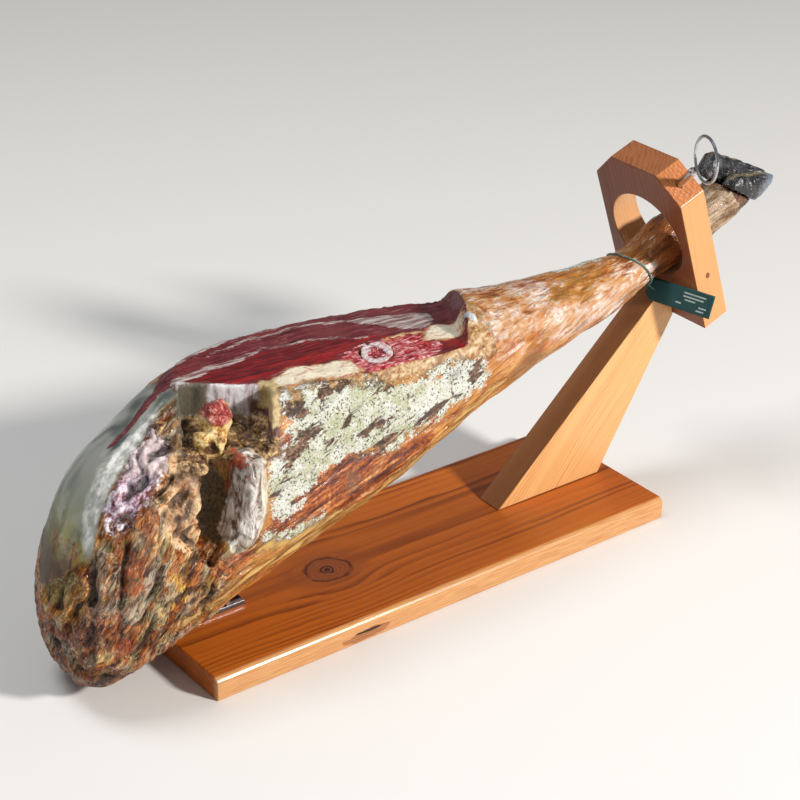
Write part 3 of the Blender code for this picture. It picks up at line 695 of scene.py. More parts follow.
def plate_finish(r, x, y, z, fibre):
    """Darker end grain on the plate's top, and a small knot at its near side."""
    end = r.between(x, 0.0825, 0.0833)
    r.coat(end * 0.55, (128, 70, 40), 0.5)
    u = (x + 0.03) * (1 / 0.0032)
    v = (z + 0.0155) * (1 / 0.0026)
    reach = r.math("SQRT", u * u + v * v)
    side = r.between(y, -0.052, -0.0542)
    # painted highlight: the near side face is made paler, where the light falls on it
    r.coat(side * 0.5, (222, 166, 108))
    # painted shade: the face towards the ham is darkened
    r.coat(r.between(z, -0.001, -0.0003) * 0.8, (104, 42, 14))
    # painted highlight: the bore's wall is made paler
    way = x - 0.0055
    bore = r.math("SQRT", way * way + y * y)
    bore = r.between(bore, 0.0448, 0.0442) * r.between(z, -0.0004, -0.001)
    r.coat(bore * 0.65, r.mix(fibre, (206, 150, 100), (236, 196, 150)))
    corner = x + r.math("ABSOLUTE", y)
    grown = r.math("SINE", z * 1900.0 + r.noise(0.012, 2.0) * 22.0)
    cut_across = r.between(corner, 0.1108, 0.1116) * r.between(x, 0.0829, 0.0823)
    r.coat(cut_across * 0.5, r.fade(grown, -0.4, 0.9, (186, 108, 56), (130, 66, 32)))
    r.coat(r.between(reach, 1.1, 0.8) * side, (120, 66, 34))


def steel_coats(name, colour, brushed, bright=None):
    """Brushed steel; bright is the height from which a painted highlight runs along its near edge."""
    r = Recipe(name, Metallic=1.0)
    scratch = r.noise(brushed, 3.0, 0.6)
    smear = r.noise(0.012, 3.0, 0.6)
    pit = r.between(r.noise(0.0022, 3.0, 0.7), 0.60, 0.70)
    r.colour = r.mix(smear, colour, tuple(c * 0.72 for c in colour))
    r.coat(pit * 0.35, (96, 84, 70))
    # painted highlight along the near top edge
    if bright:
        _, y, z = r.sides()
        r.coat(r.between(z, bright, bright + 0.0003) * r.between(y, -0.0012, -0.0022), (222, 222, 224))
    r.rough = smear * 0.16 + (scratch * 0.1 + 0.06)
    r.height = scratch * 0.00004
    return r.done()


def bone_coats():
    r = Recipe("sawn_bone", Coat_Weight=0.2, Coat_Roughness=0.2)
    fine = r.noise(0.0016, 3.0, 0.6)
    patch = r.noise(0.005, 3.0, 0.6)
    r.colour = r.mix(fine, (196, 182, 182), (230, 224, 224))
    r.rough = r.blend(patch, 0.25, 0.45)
    r.height = fine * 0.0006
    r.coat(r.between(patch, 0.47, 0.6) * 0.8, r.mix(fine, (168, 56, 62), (220, 156, 154)))
    marrow = r.zone("marrow", fine, 2.6, 0.5)
    pulp = r.noise((0.0035, 0.0022, 0.003), 3.0, 0.65)
    pulp_tone = r.shades(
        pulp, (0.38, (92, 12, 22)), (0.5, (158, 38, 46)), (0.58, (206, 118, 118)), (0.66, (240, 224, 222))
    )
    r.coat(marrow, pulp_tone, 0.25, pulp * 0.0014)
    r.coat(r.zone("side", fine, 1.0, 0.5), (150, 60, 56))
    return r.done()


def knuckle_coats():
    r = Recipe("hip_bone_ends", Coat_Weight=0.15, Coat_Roughness=0.3)
    fine = r.noise(0.0022, 4.0, 0.65)
    patch = r.noise(0.007, 3.0, 0.6)
    r.colour = r.shades(
        fine * 0.5 + patch * 0.5, (0.38, (96, 54, 22)), (0.45, (186, 134, 62)), (0.52, (226, 194, 120)),
        (0.62, (242, 228, 186)),
    )
    r.rough = r.blend(patch, 0.3, 0.55)
    r.height = fine * 0.0014
    torn = patch * 0.5 + fine * 0.5
    flesh = r.shades(torn, (0.38, (96, 12, 12)), (0.5, (168, 50, 44)), (0.6, (222, 168, 150)))
    r.coat(r.zone("marrow", torn, 16.0, 1.5), flesh, 0.28, fine * 0.0018)
    r.coat(r.zone("dip", torn, 8.0, 1.0), r.mix(fine, (52, 26, 12), (120, 78, 36)), 0.4)
    return r.done()


def horn_coats():
    r = Recipe("hoof_horn", Coat_Weight=0.25, Coat_Roughness=0.2)
    growth = r.noise((0.003, 0.018, 0.018), 3.0, 0.6)
    fine = r.noise(0.002, 4.0, 0.6)
    patch = r.noise(0.011, 3.0, 0.6)
    r.colour = r.shades(
        growth * 0.5 + patch * 0.5, (0.36, (8, 8, 10)), (0.48, (22, 22, 25)), (0.58, (46, 46, 50)),
        (0.7, (112, 110, 108)),
    )
    streak = r.noise((0.030, 0.0022, 0.0022), 3.0, 0.62, r.moved(turn=(0, math.radians(-20), 0)))
    r.coat(r.between(streak, 0.54, 0.7) * 0.5, (112, 112, 112))
    r.coat(r.between(streak * 0.7 + fine * 0.3, 0.6, 0.66) * 0.7, (196, 194, 188))
    r.rough = r.blend(patch, 0.18, 0.46)
    r.height = growth * 0.0006 + fine * 0.0003 + streak * 0.0008
    ridge = r.zone("ridge", patch, 5.0, 2.0)
    r.coat(ridge * 0.8, r.fade(fine, 0.35, 0.65, (44, 36, 28), (162, 140, 104)), 0.6)
    # painted highlight: the near claw's tip is made blue-grey
    tip = r.zone("tip", patch, 7.0, 2.5)
    r.coat(tip, r.mix(fine, (58, 66, 80), (128, 138, 152)), 0.22)
    return r.done()


def tag_coats(look):
    """Card read along its own UV: along it in x and across it in y, both in metres."""
    r = Recipe("tag_card", Coat_Weight=0.1)
    paper = r.noise(0.0009, 3.0, 0.6)
    worn = r.noise(0.010, 3.0, 0.6)
    spot = r.read("ShaderNodeUVMap", uv_map="UVMap")
    along, across, _ = r.sides(spot)
    r.colour = r.mix(worn, look.tag, (22, 88, 88))
    r.rough = r.blend(paper, 0.45, 0.65)
    r.height = paper * 0.00006
    bars = (
        (0.034, 0.0405, 0.0155), (0.0405, 0.066, 0.005), (0.0405, 0.064, 0.0082), (0.043, 0.0555, 0.0113),
        (0.06, 0.069, 0.0148), (0.058, 0.067, 0.018),
    )
    for low, high, middle in bars:
        wide = r.between(along, low, low + 0.0003) * r.between(along, high, high - 0.0003)
        gap = r.math("ABSOLUTE", across - middle)
        tall = r.between(gap, look.bar / 2, look.bar / 2 - 0.0003)
        share = wide * tall * r.between(r.noise(0.0014, 2.0), 0.25, 0.42)
        r.coat(share * 0.9, (206, 222, 218))
    scuff = r.between(r.noise(0.0045, 4.0, 0.7, shift=4.0), 0.60, 0.68)
    r.coat(scuff * r.between(along, 0.016, 0.004) * 0.7, (110, 140, 136))
    return r.done()


def cord_coats(colour):
    r = Recipe("tag_cord", Sheen_Weight=0.3)
    fuzz = r.noise(0.0006, 3.0, 0.7)
    worn = r.noise(0.009, 2.0, 0.6)
    r.colour = r.mix(fuzz, tuple(c * 0.6 for c in colour), colour)
    r.colour = r.fade(worn, 0.5, 0.7, r.colour, (140, 178, 166))
    r.rough = 0.75
    r.height = fuzz * 0.0002
    return r.done()


# ------------------------------------------------------------------ meshes


def new_piece(name, bm, material, node):
    """A finished piece from a bmesh whose points are already in place."""
    bmesh.ops.recalc_face_normals(bm, faces=bm.faces)
    for face in bm.faces:
        face.smooth = True
    mesh = bpy.data.meshes.new(name)
    bm.to_mesh(mesh)
    bm.free()
    obj = bpy.data.objects.new(name, mesh)
    bpy.context.scene.collection.objects.link(obj)
    mesh.materials.clear()
    mesh.materials.append(material)
    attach(obj, "stand")
    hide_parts(node)
    return obj


def painted(materials):
    """Gives each CAD node its material."""
    for node, material in materials.items():
        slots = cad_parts[node].data.materials
        slots.clear()
        slots.append(material)


def remeshed(node, cell):
    """A copy of a CAD node as an even bmesh of small cells."""
    source = bmesh.new()
    source.from_mesh(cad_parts[node].data)
    bmesh.ops.remove_doubles(source, verts=source.verts, dist=1e-6)
    mesh = bpy.data.meshes.new(node + "_cells")
    source.to_mesh(mesh)
    source.free()
    obj = bpy.data.objects.new(node + "_cells", mesh)
    bpy.context.scene.collection.objects.link(obj)
    cells = obj.modifiers.new("cells", "REMESH")
    cells.mode = "VOXEL"
    cells.voxel_size = cell
    graph = bpy.context.evaluated_depsgraph_get()
    made = bpy.data.meshes.new_from_object(obj.evaluated_get(graph))
    bm = bmesh.new()
    bm.from_mesh(made)
    bpy.data.objects.remove(obj)
    bpy.data.meshes.remove(made)
    bpy.data.meshes.remove(mesh)
    return bm


def smoothed(bm, rounds, verts=None):
    for _ in range(rounds):
        bmesh.ops.smooth_vert(
            bm, verts=verts or bm.verts, factor=0.5, use_axis_x=True, use_axis_y=True, use_axis_z=True
        )


def spots(bm):
    bm.normal_update()
    places = np.array([v.co for v in bm.verts])
    normals = np.array([v.normal for v in bm.verts])
    return places, normals


def field(places, size, shift=0.0):
    """Smooth noise from -1 to 1 at each place, for cells of that size in metres."""
    sizes = size if isinstance(size, tuple) else (size,) * 3
    scaled = places / np.array(sizes) + shift
    return np.array([noise.noise(Vector(p)) for p in scaled]) * 1.6


def turned(places, angle):
    """The places in axes turned by that many degrees in X and Z."""
    c, s = math.cos(math.radians(angle)), math.sin(math.radians(angle))
    x, y, z = places.T
    return np.column_stack((x * c + z * s, y, z * c - x * s))


def pushed(bm, places, normals, height):
    for vert, place in zip(bm.verts, places + normals * height[:, None]):
        vert.co = place


def marked(bm, **values):
    """Stores one number per point under each name, for the materials."""
    for name, numbers in values.items():
        layer = bm.verts.layers.float.new(name)
        for vert, number in zip(bm.verts, numbers):
            vert[layer] = float(number)


def least(*values):
    return functools.reduce(np.minimum, values)


def most(*values):
    return functools.reduce(np.maximum, values)


def rise(value, low, high):
    share = np.clip((value - low) / (high - low), 0, 1)
    return share * share * (3 - 2 * share)


def inside(points, outline):
    """Millimetres inside a closed outline, negative outside it."""
    corners = np.array(outline) / MM
    nearest = np.full(len(points), FAR)
    within = np.zeros(len(points), bool)
    for start, end in zip(corners, np.roll(corners, -1, 0)):
        way = end - start
        share = np.clip((points - start) @ way / (way @ way), 0, 1)
        gap = points - start - share[:, None] * way
        nearest = least(nearest, np.hypot(gap[:, 0], gap[:, 1]))
        crossing = (start[1] > points[:, 1]) != (end[1] > points[:, 1])
        rise_by = way[1] if way[1] else 1e-12
        at = start[0] + (points[:, 1] - start[1]) / rise_by * way[0]
        within ^= crossing & (points[:, 0] < at)
    return np.where(within, nearest, -nearest) * MM


def beside(points, line, start_width, end_width):
    """Millimetres inside a band that follows a line, its half width given at both ends."""
    corners = np.array(line) / MM
    best = np.full(len(points), -FAR)
    count = len(corners) - 1
    for index in range(count):
        start, end = corners[index], corners[index + 1]
        way = end - start
        share = np.clip((points - start) @ way / (way @ way), 0, 1)
        gap = points - start - share[:, None] * way
        width = start_width + (end_width - start_width) * (index + share) / count
        best = most(best, width - np.hypot(gap[:, 0], gap[:, 1]))
    return best * MM


def mound(places, centre, radii, tilt=0.0):
    """1 at the middle of a tilted oval in X and Z, 0 at its rim."""
    x, z = places[:, 0] - centre[0], places[:, 2] - centre[1]
    c, s = math.cos(math.radians(tilt)), math.sin(math.radians(tilt))
    reach = np.hypot((x * c + z * s) / radii[0], (z * c - x * s) / radii[1])
    return rise(1 - reach, 0, 1)


def cut_height(x, y):
    level, by_x, by_y, twist = CUT_PLACE
    return level + by_x * x + by_y * y + twist * x * y


def step_reach(places):
    """Metres past the step's wall, at each place's own height."""
    x = places[:, 0] - STEP_FOOT.x
    y = places[:, 1] - STEP_FOOT.y
    way = x * math.cos(STEP_TURN) + y * math.sin(STEP_TURN)
    lift = places[:, 2] - cut_height(STEP_FOOT.x, STEP_FOOT.y)
    return way - STEP_LEAN * lift


def ham_points(places, normals):
    """What the zones read of each point: where it is, and how near it is to the cut."""
    at = types.SimpleNamespace(places=places, normals=normals)
    at.wobble_x = field(at.places, 0.013, 2.0) * 0.0014 + field(at.places, 0.034, 5.0) * 0.0028
    at.wobble_y = field(at.places, 0.013, 9.0) * 0.0014 + field(at.places, 0.034, 14.0) * 0.0028
    x, y, z = at.places.T
    at.plan = np.column_stack((x + at.wobble_x, y + at.wobble_y * 0.5))
    at.side = np.column_stack((x + at.wobble_x, z + at.wobble_y))
    at.near = (0.25 - at.normals[:, 1]) * 60
    at.upward = (at.normals[:, 2] - 0.15) * 60
    at.drop = (cut_height(x, y) - z) * MM
    face = least(1.4 - np.abs(at.drop), (at.normals[:, 2] - 0.72) * 25)
    wall = least(2.2 - np.abs(step_reach(at.places)) * MM, (-at.normals[:, 0] - 0.35) * 25)
    wall = np.where((x > 0.02) & (at.drop < 1), wall, OUTSIDE)
    at.cut = np.where(x < 0.1, most(face, wall), OUTSIDE)
    return at


def fat_zones(at, zones):
    """The cut's fat, seen from above."""
    bands = [
        ([(-219, 21), (-190, 26.5), (-165, 31), (-146, 34)], 0.0038, 0.003),
        ([(-150, 34), (-122, 39), (-84, 38), (-50, 29), (-26, 18)], 0.0016, 0.0007),
        ([(-170, 50), (-115, 61), (-83, 63), (-44, 59), (-5, 50)], 0.001, 0.0026),
        ([(-219, 21), (-226, 12)], 0.0038, 0.002), ([(-190, 60), (-130, 70), (-60, 71)], 0.001, 0.0008),
    ]
    fat = most(*(beside(at.plan, *band) for band in bands))
    rim = inside(at.plan, [
        (-245, 27), (-225, 37), (-205, 46), (-170, 58), (-140, 65), (-110, 70.5), (-90, 75), (-80, 120),
        (-300, 120), (-320, 30),
    ])
    wedge = inside(at.plan, [
        (-20, 54), (10, 51), (30, 44), (50, 36), (46, 20), (36, 12), (24, 8), (8, 16), (-2, 30)
    ])
    zones["fat"] = least(most(fat, rim, wedge), at.cut * 4)


def red_zones(at, zones):
    """The deep, red and rose lean of the cut."""
    zones["deep"] = inside(at.plan, [
        (-226, 12), (-219, 18), (-190, 23.5), (-146, 31), (-122, 37), (-84, 36), (-50, 27), (-20, 13),
        (-4, 4), (-35, 12), (-60, 4), (-72, -8), (-100, -1), (-127, 0), (-152, -8), (-210, 10),
    ])
    red_edge = inside(at.plan, [
        (-175, 0), (-150, -8), (-127, 1), (-100, 0), (-70, -9), (-58, 4), (-30, 12), (0, 5), (-10, 12),
        (-30, 18), (-80, 10), (-127, 11), (-160, 4),
    ])
    step_red = inside(at.plan, [
        (8, -20), (22, -24), (40, -28), (54, -22), (52, -36), (30, -41), (10, -35)
    ])
    by_step = inside(at.plan, [(-4, -2), (10, 3), (18, -1), (14, -12), (0, -12)])
    zones["red"] = most(red_edge, step_red, by_step)
    zones["rose"] = inside(at.plan, [
        (-82, -12), (-60, 1), (-30, 8), (2, 2), (16, -9), (14, -32), (0, -40), (-30, -42), (-55, -46),
        (-66, -44), (-74, -32),
    ])


def cut_zones(at, zones):
    """The creamy fat, the pale lump, and where the cut ends."""
    x, _, _ = at.places.T
    band = inside(at.plan, [
        (-150, -12), (-127, -3), (-112, -3), (-94, -6), (-68, -12), (-73, -34), (-85, -38), (-105, -32),
        (-126, -28), (-148, -30),
    ])
    sliver = beside(at.plan, [(-20, 6), (2, 4), (18, 2)], 0.0015, 0.0025)
    step_fat = inside(at.plan, [
        (8, -14), (18, -2), (34, 8), (48, 4), (58, -6), (52, -16), (40, -24), (20, -21)
    ])
    zones["cream"] = least(most(band + 0.5, step_fat + 1.5, sliver), at.cut * 4 + 1)
    zones["lump"] = least(
        inside(at.plan, [(49, -18), (54, -17), (58, -22), (53, -29), (47, -26)]), at.upward
    )
    streak_red = inside(at.plan, [
        (-190, 60), (-218, 44), (-238, 28), (-262, 18.5), (-290, 12.5), (-286, 10.5), (-262, 12.5),
        (-246, 15), (-236, 19), (-226, 17), (-210, 18), (-190, 18),
    ])
    streak_red = least(streak_red + field(at.places, 0.008, 3.0) * 1.5, at.upward)
    zones["cut"] = most(at.cut * 2, np.where(x < -0.19, streak_red, OUTSIDE))
    at.crust = inside(at.plan, [
        (-162, -20), (-145, -26), (-126, -25), (-105, -30), (-85, -36), (-66, -43), (-55, -50),
        (-55, -70), (-170, -70),
    ])
    zones["cut"] = least(zones["cut"], -at.crust)


def hip_zones(at, zones):
    """The hip's notch, and the hollow and the lobe under it."""
    x, y, z = at.places.T
    c, s = math.cos(NOTCH_TURN), math.sin(NOTCH_TURN)
    right, ahead = x - NOTCH_PLACE[0], y - NOTCH_PLACE[1]
    u = right * c + ahead * s
    v = ahead * c - right * s
    half_u, half_v = NOTCH_HALF
    notch = least(half_u - np.abs(u) * MM, half_v - np.abs(v) * MM, (z - NOTCH_FLOOR) * MM, at.drop + 2.7)
    upper = least(notch, 6 - at.cut * 3)
    zones["hip_wall"] = np.where(z > 0.19, upper, OUTSIDE)
    zones["hip_shade"] = least(-u * MM - 8 + at.wobble_x * 2000, upper + 2, at.drop * 4)
    zones["hip_fringe"] = least(u * MM - 29, upper + 5, (z - 0.21) * MM)
    zones["bruise"] = least(u * MM - 22, upper + 5, (0.216 - z) * MM)
    hollow = mound(at.places, (-0.228, 0.16), (0.024, 0.056), 14)
    deep = least(y + 0.0575, 0.012 - y) * MM
    floor = np.where((z > 0.18) & (z < 0.212), least(notch + 4, (0.204 - z) * MM), OUTSIDE)
    zones["hollow"] = most(least(hollow * 30 - 4, deep, (0.197 - z) * MM), floor)
    zones["floor"] = floor
    zones["pit"] = least((0.186 - z) * MM, zones["hollow"] - 2)
    lobe = inside(at.side, [
        (-196, 200), (-188, 186), (-190, 160), (-196, 135), (-208, 118), (-221, 118), (-224, 134),
        (-219, 160), (-212, 188),
    ])
    zones["lobe"] = least(lobe, at.near, (-0.046 - y) * MM)
    zones["blood"] = least(
        beside(at.side, [(-205, 197), (-211, 183), (-216, 162)], 0.0014, 0.0006), zones["lobe"] + 2
    )


def band_zones(at, zones):
    """The fat band, the facet and the lean of the butt."""
    x, y, z = at.places.T
    line = np.interp(
        z, [0.09, 0.105, 0.12, 0.139, 0.161, 0.175, 0.187, 0.198, 0.207, 0.216, 0.23],
        [0.016, 0.0, -0.016, -0.037, -0.027, -0.024, -0.021, -0.015, -0.009, -0.001, 0.0],
    )
    inner = (y + at.wobble_y * 0.5 - line) * MM
    foot_line = 0.098 + most(y - 0.015, 0) * 0.9 + most(y - 0.05, 0) * 2.5
    zones["fat_band"] = np.where(
        x < -0.225, least(inner, (0.068 - y) * 600, (z - foot_line) * 400), OUTSIDE
    )
    zones["smear"] = least(
        beside(at.side, [(-358, 104), (-351, 116), (-344, 130), (-336, 142)], 0.0035, 0.0015),
        (0.03 - y) * 500,
    )
    zones["band_line"] = np.where(x < -0.225, 2.5 - np.abs(inner - 1), OUTSIDE)
    facet = inside(at.plan, [
        (-238, 8), (-262, 7), (-286, 5), (-300, 2), (-312, -4), (-322, -10), (-330, -18), (-334, -28),
        (-330, -37), (-321, -29), (-311, -26), (-300, -23), (-287, -17), (-270, -11), (-255, -3),
    ])
    zones["facet"] = least(facet, at.upward + 10, inner)
    zones["purple"] = least(
        inside(at.plan, [
            (-258, -6), (-287, -16), (-308, -25), (-320, -36), (-300, -46), (-280, -44), (-266, -38),
            (-255, -24),
        ]),
        (z - 0.16) * MM,
    )
    zones["crumb"] = least(
        inside(at.side, [
            (-277, 206), (-262, 212), (-235, 212), (-234, 176), (-242, 150), (-250, 128), (-270, 140),
            (-281, 160), (-276, 186),
        ]),
        at.near,
    )
    zones["butt"] = rise(-x + at.wobble_x * 2, 0.2, 0.235)


def stain_zones(at, zones):
    """The lumps, ridges and stains of the butt's hide."""
    _, y, _ = at.places.T
    lumps = most(
        mound(at.places, (-0.252, 0.186), (0.014, 0.012)),
        mound(at.places, (-0.265, 0.162), (0.015, 0.013)),
    )
    zones["lumps"] = least(lumps * 14 - 2.5, at.near)
    zones["ridge"] = beside(at.side, [
        (-318, 165), (-329, 148), (-336, 136), (-343, 114), (-350, 89)
    ], 0.003, 0.006)
    zones["grey"] = least(
        most(
            beside(at.side, [(-322, 150), (-331, 123), (-337, 102), (-343, 77)], 0.003, 0.006),
            beside(at.side, [(-292, 140), (-302, 118), (-312, 98)], 0.005, 0.009),
        ),
        at.near,
    )
    zones["umber"] = most(
        beside(at.side, [(-342, 118), (-338, 133), (-334, 142)], 0.003, 0.002),
        beside(at.side, [(-290, 174), (-293, 154), (-307, 141), (-320, 118)], 0.004, 0.006),
        beside(at.side, [(-350, 70), (-340, 85), (-336, 100)], 0.006, 0.004),
    )
    zones["green"] = np.where(
        y < 0.02, inside(at.side, [(-356, 96), (-356, 122), (-345, 126), (-341, 120), (-345, 104)]),
        OUTSIDE,
    )
    zones["brick"] = least(mound(at.places, (-0.32, 0.068), (0.015, 0.011)) * 14 - 3, at.near)
    zones["gold"] = least(
        beside(at.side, [(-276, 120), (-271, 108), (-268, 100), (-284, 90)], 0.0035, 0.0035), at.near
    )


def mould_zones(at, zones):
    """The mould of both sides, and the bare spots in it."""
    x, _, _ = at.places.T
    outline = [
        (-163, 196), (-160, 217), (-158, 226.5), (-142, 228), (-119, 226.5), (-97, 222), (-80, 219),
        (-60, 217), (-40, 213), (-23, 210), (5, 212), (24, 213), (43, 209), (56, 198), (52, 188),
        (31, 180), (13, 177), (-5, 173), (-27, 165), (-50, 164), (-71, 159), (-95, 166), (-108, 166),
        (-134, 163), (-139, 151), (-160, 146), (-180, 152), (-188, 160), (-187, 181), (-177, 193),
    ]
    white_patch = inside(at.side, [(-186, 154), (-165, 150), (-147, 143), (-153, 131), (-176, 134)])
    low_white = beside(at.side, [(-190, 128), (-176, 118), (-150, 113.5), (-124, 112.5)], 0.005, 0.002)
    mould = most(inside(at.side, outline), white_patch, low_white)
    mould = least(mould, at.near, at.drop * 3 - 2, 12 - zones["hip_wall"] * 3)
    far_mould = least(
        (at.normals[:, 1] - 0.2) * 60, field(at.places, 0.06, 31.0) * 22 - 2, (x + 0.2) * 400,
        (0.23 - x) * 400,
    )
    zones["mould"] = most(mould, far_mould)
    spotted = [
        ((-0.161, 0.184), (0.026, 0.017), 25),
        ((-0.144, 0.197), (0.030, 0.010), 28),
        ((-0.150, 0.218), (0.024, 0.012), 0),
        ((-0.112, 0.223), (0.044, 0.008), 5),
        ((-0.076, 0.184), (0.030, 0.011), 12),
        ((-0.060, 0.167), (0.050, 0.0090), 8),
        ((-0.122, 0.183), (0.018, 0.006), 30),
        ((-0.104, 0.196), (0.012, 0.005), 40),
        ((-0.050, 0.213), (0.030, 0.006), 5),
        ((-0.010, 0.179), (0.044, 0.0080), 14),
        ((0.036, 0.199), (0.026, 0.014), 20),
        ((-0.176, 0.158), (0.020, 0.005), 10),
    ]
    holes = most(*(mound(at.places, *row) for row in spotted))
    zones["bare"] = least(holes * 16 - 6, at.near)


def rind_zones(at, zones):
    """The shiny rind and its edges, the shank's bloom and rust, and the foot."""
    x, _, z = at.places.T
    zones["amber"] = least(
        inside(at.side, [
            (-134, 168), (-108, 170), (-70, 164), (-40, 160), (-10, 160), (-12, 138), (-50, 118),
            (-100, 112), (-150, 108), (-200, 112), (-230, 100), (-240, 108), (-225, 118), (-196, 132),
            (-185, 140), (-160, 148),
        ]),
        at.near,
    )
    low_line = beside(at.side, [
        (-196, 118), (-172, 110), (-149, 104), (-110, 103), (-76, 106), (-30, 128), (10, 150), (46, 168),
        (70, 176),
    ], 0.006, 0.006)
    under = beside(at.side, [(-260, 70), (-200, 84), (-149, 92), (-100, 96)], 0.008, 0.006)
    zones["fat_strip"] = least(most(low_line, under), at.near)
    zones["rim"] = most(
        least(12 - at.drop, at.near + 6, (0.062 - x) * 600, (x + 0.155) * 600),
        least(at.crust + 2, 12 - at.drop),
    )
    bloom = beside(at.side, [
        (75, 222), (115, 224), (150, 214), (185, 208), (225, 214), (255, 222)
    ], 0.015, 0.011)
    zones["bloom"] = least(bloom, at.near + 5)
    rusty = [
        ((0.086, 0.21), (0.022, 0.012), 0), ((0.188, 0.198), (0.018, 0.01), 15),
        ((0.125, 0.196), (0.03, 0.007), 15), ((0.3, 0.226), (0.05, 0.03), 30),
        ((0.14, 0.236), (0.03, 0.008), 0),
    ]
    zones["rust"] = most(*(mound(at.places, *row) for row in rusty)) * 18 - 6
    zones["foot"] = (x - 0.320) * 700
    crack = beside(at.side, [(347, 282), (351, 277)], 0.0016, 0.0006) - 0.6
    zones["crack"] = most(crack, (x - 0.3729) * 878 + (z - 0.2803) * 479 + 1.5)


HAM_ZONES = (
    fat_zones, red_zones, cut_zones, hip_zones,
    band_zones, stain_zones, mould_zones, rind_zones,
)


def ham_zones(places, normals):
    """Distances inside each zone of the ham, in millimetres, by name."""
    at = ham_points(places, normals)
    zones = {}
    for add in HAM_ZONES:
        add(at, zones)
    return zones


def relief_patterns(places, normals, zones, look):
    """What the heights share: where the skin is, how near each point is, and the noises."""
    at = types.SimpleNamespace(places=places, normals=normals, look=look)
    x, y, z = at.places.T
    at.side = np.column_stack((x, z))
    at.plan = np.column_stack((x, y))
    limb = turned(at.places, 17)
    steep = turned(at.places, 57)
    at.cut = rise(zones["cut"], -1, 1)
    notch = rise(most(zones["hip_wall"], zones["hollow"]), 0, 2)
    at.skin = (1 - at.cut) * (1 - notch)
    at.butt = zones["butt"] * at.skin
    at.shank = rise(x, 0.04, 0.1) * at.skin
    at.near = rise(0.3 - at.normals[:, 1], 0, 0.3)
    at.lumps = field(at.places, 0.045, 1.0) * 0.5 + field(at.places, 0.02, 3.0) * 0.35
    at.ridges = 1 - np.abs(field(limb, (0.05, 0.0085, 0.0085), 6.0)) * 2
    bend = 0.006 * field(at.places, 0.02, 8.0)[:, None]
    at.creases = 1 - np.abs(field(steep + bend, (0.044, 0.013, 0.013), 7.0)) * 2.4
    at.small = 1 - np.abs(field(steep + bend * 0.5, (0.02, 0.0062, 0.0062), 27.0)) * 2.2
    at.crumple = field(at.places, 0.0075, 4.0)
    at.fine = field(at.places, 0.0045, 12.0)
    return at


def fold_heights(at, zones):
    """The shank's wrinkles and the butt's folds."""
    at.height = at.skin * at.lumps * 0.0011
    at.wrinkle = at.shank * at.ridges * 0.55
    creased = at.creases * 0.75 + at.small * 0.3 + at.crumple * 0.08
    at.folded = at.butt * creased * (0.45 + 0.55 * at.near)
    folds = [
        ([(-250, 128), (-262, 110), (-276, 88), (-292, 62)], 0.006),
        ([(-331, 142), (-337, 118), (-341, 95), (-345, 70)], 0.004),
        ([(-268, 163), (-278, 147), (-290, 125), (-300, 104), (-309, 86)], 0.006),
        ([(-262, 192), (-277, 182), (-296, 171), (-315, 158)], 0.004),
        ([(-310, 150), (-318, 130), (-322, 108), (-326, 85)], 0.005),
        ([(-200, 98), (-225, 90), (-255, 76), (-285, 50)], 0.004),
    ]
    for line, width in folds:
        depth = rise(beside(at.side, line, width, width * 0.6), 0, width * 900) * at.near
        at.folded = at.folded - depth
    at.folded = at.folded + rise(zones["ridge"], -1, 4) * 0.5 * at.near
    smooth_band = rise(most(zones["fat_band"], zones["facet"]), -5, 2)
    at.folded = at.folded * (1 - 0.9 * smooth_band)
    at.height += at.wrinkle * at.look.wrinkle + at.folded * at.look.fold


def skin_heights(at, zones):
    """The mould's crust, the bare spots, and the fibres and fat of the cut."""
    at.near_side = at.skin * (1 - zones["butt"]) * (1 - at.shank)
    mould = rise(zones["mould"], -1, 3) * at.near_side
    at.height += mould * (at.fine * 0.0003 + at.crumple * 0.0004 + at.ridges * 0.0004 + 0.0005)
    at.height += at.near_side * (1 - mould) * (at.ridges * 0.0008 + at.crumple * 0.0003)
    at.height -= rise(zones["bare"], -1, 2) * 0.001
    fibre = field(at.places, (0.03, 0.0034, 0.0034), 15.0)
    waves = field(at.places, (0.016, 0.045, 0.045), 17.0)
    fat = rise(zones["fat"], -1, 1)
    at.height += at.cut * (fibre * at.look.fibre * (1 - 0.6 * fat) + waves * 0.0007 + fat * 0.0004)
    at.height += rise(zones["cream"], -1, 2) * (0.0008 + at.crumple * 0.0004)
    at.height += at.cut * rise(zones["rose"], -1, 2) * (at.crumple * 0.0005 - 0.0004)
    at.height += rise(zones["lump"], -1, 3) * 0.003


def lump_heights(at, zones):
    """The butt's lumps, the floor and the walls of the notch, and the crack."""
    lumpy = rise(zones["crumb"], -1, 4)
    at.height += lumpy * (at.crumple * 0.0012 + at.fine * 0.0009 - 0.0008)
    at.height += rise(zones["lumps"], -2, 8) * at.near * 0.0042
    at.height += mound(at.places, (-0.252, 0.174), (0.006, 0.01), 10) * at.near * 0.0018
    at.height += rise(zones["purple"], -1, 3) * (at.crumple * 0.0007 + at.small * 0.0006)
    at.height += rise(zones["lobe"], 0, 5) * (0.001 + at.crumple * 0.0007 + at.fine * 0.0004)
    floor = rise(zones["floor"], 0, 4)
    at.height += floor * (0.0045 + field(at.places, 0.014, 21.0) * 0.004 + at.crumple * 0.0016)
    at.height += mound(at.places, (-0.32, 0.068), (0.012, 0.009)) * at.near * 0.0012
    ledge = rise(beside(at.plan, [(-240, 5), (-285, 2), (-303, -8), (-318, -18)], 0.004, 0.004), 0, 4)
    at.height += ledge * 0.0012 * rise(zones["facet"] + 8, 0, 6)
    stripes = field(at.places, (0.0065, 0.0065, 0.05), 19.0)
    at.height += rise(zones["hip_wall"], 0, 2) * stripes * 0.0008
    at.height -= rise(zones["crack"], -1, 2) * 0.0008


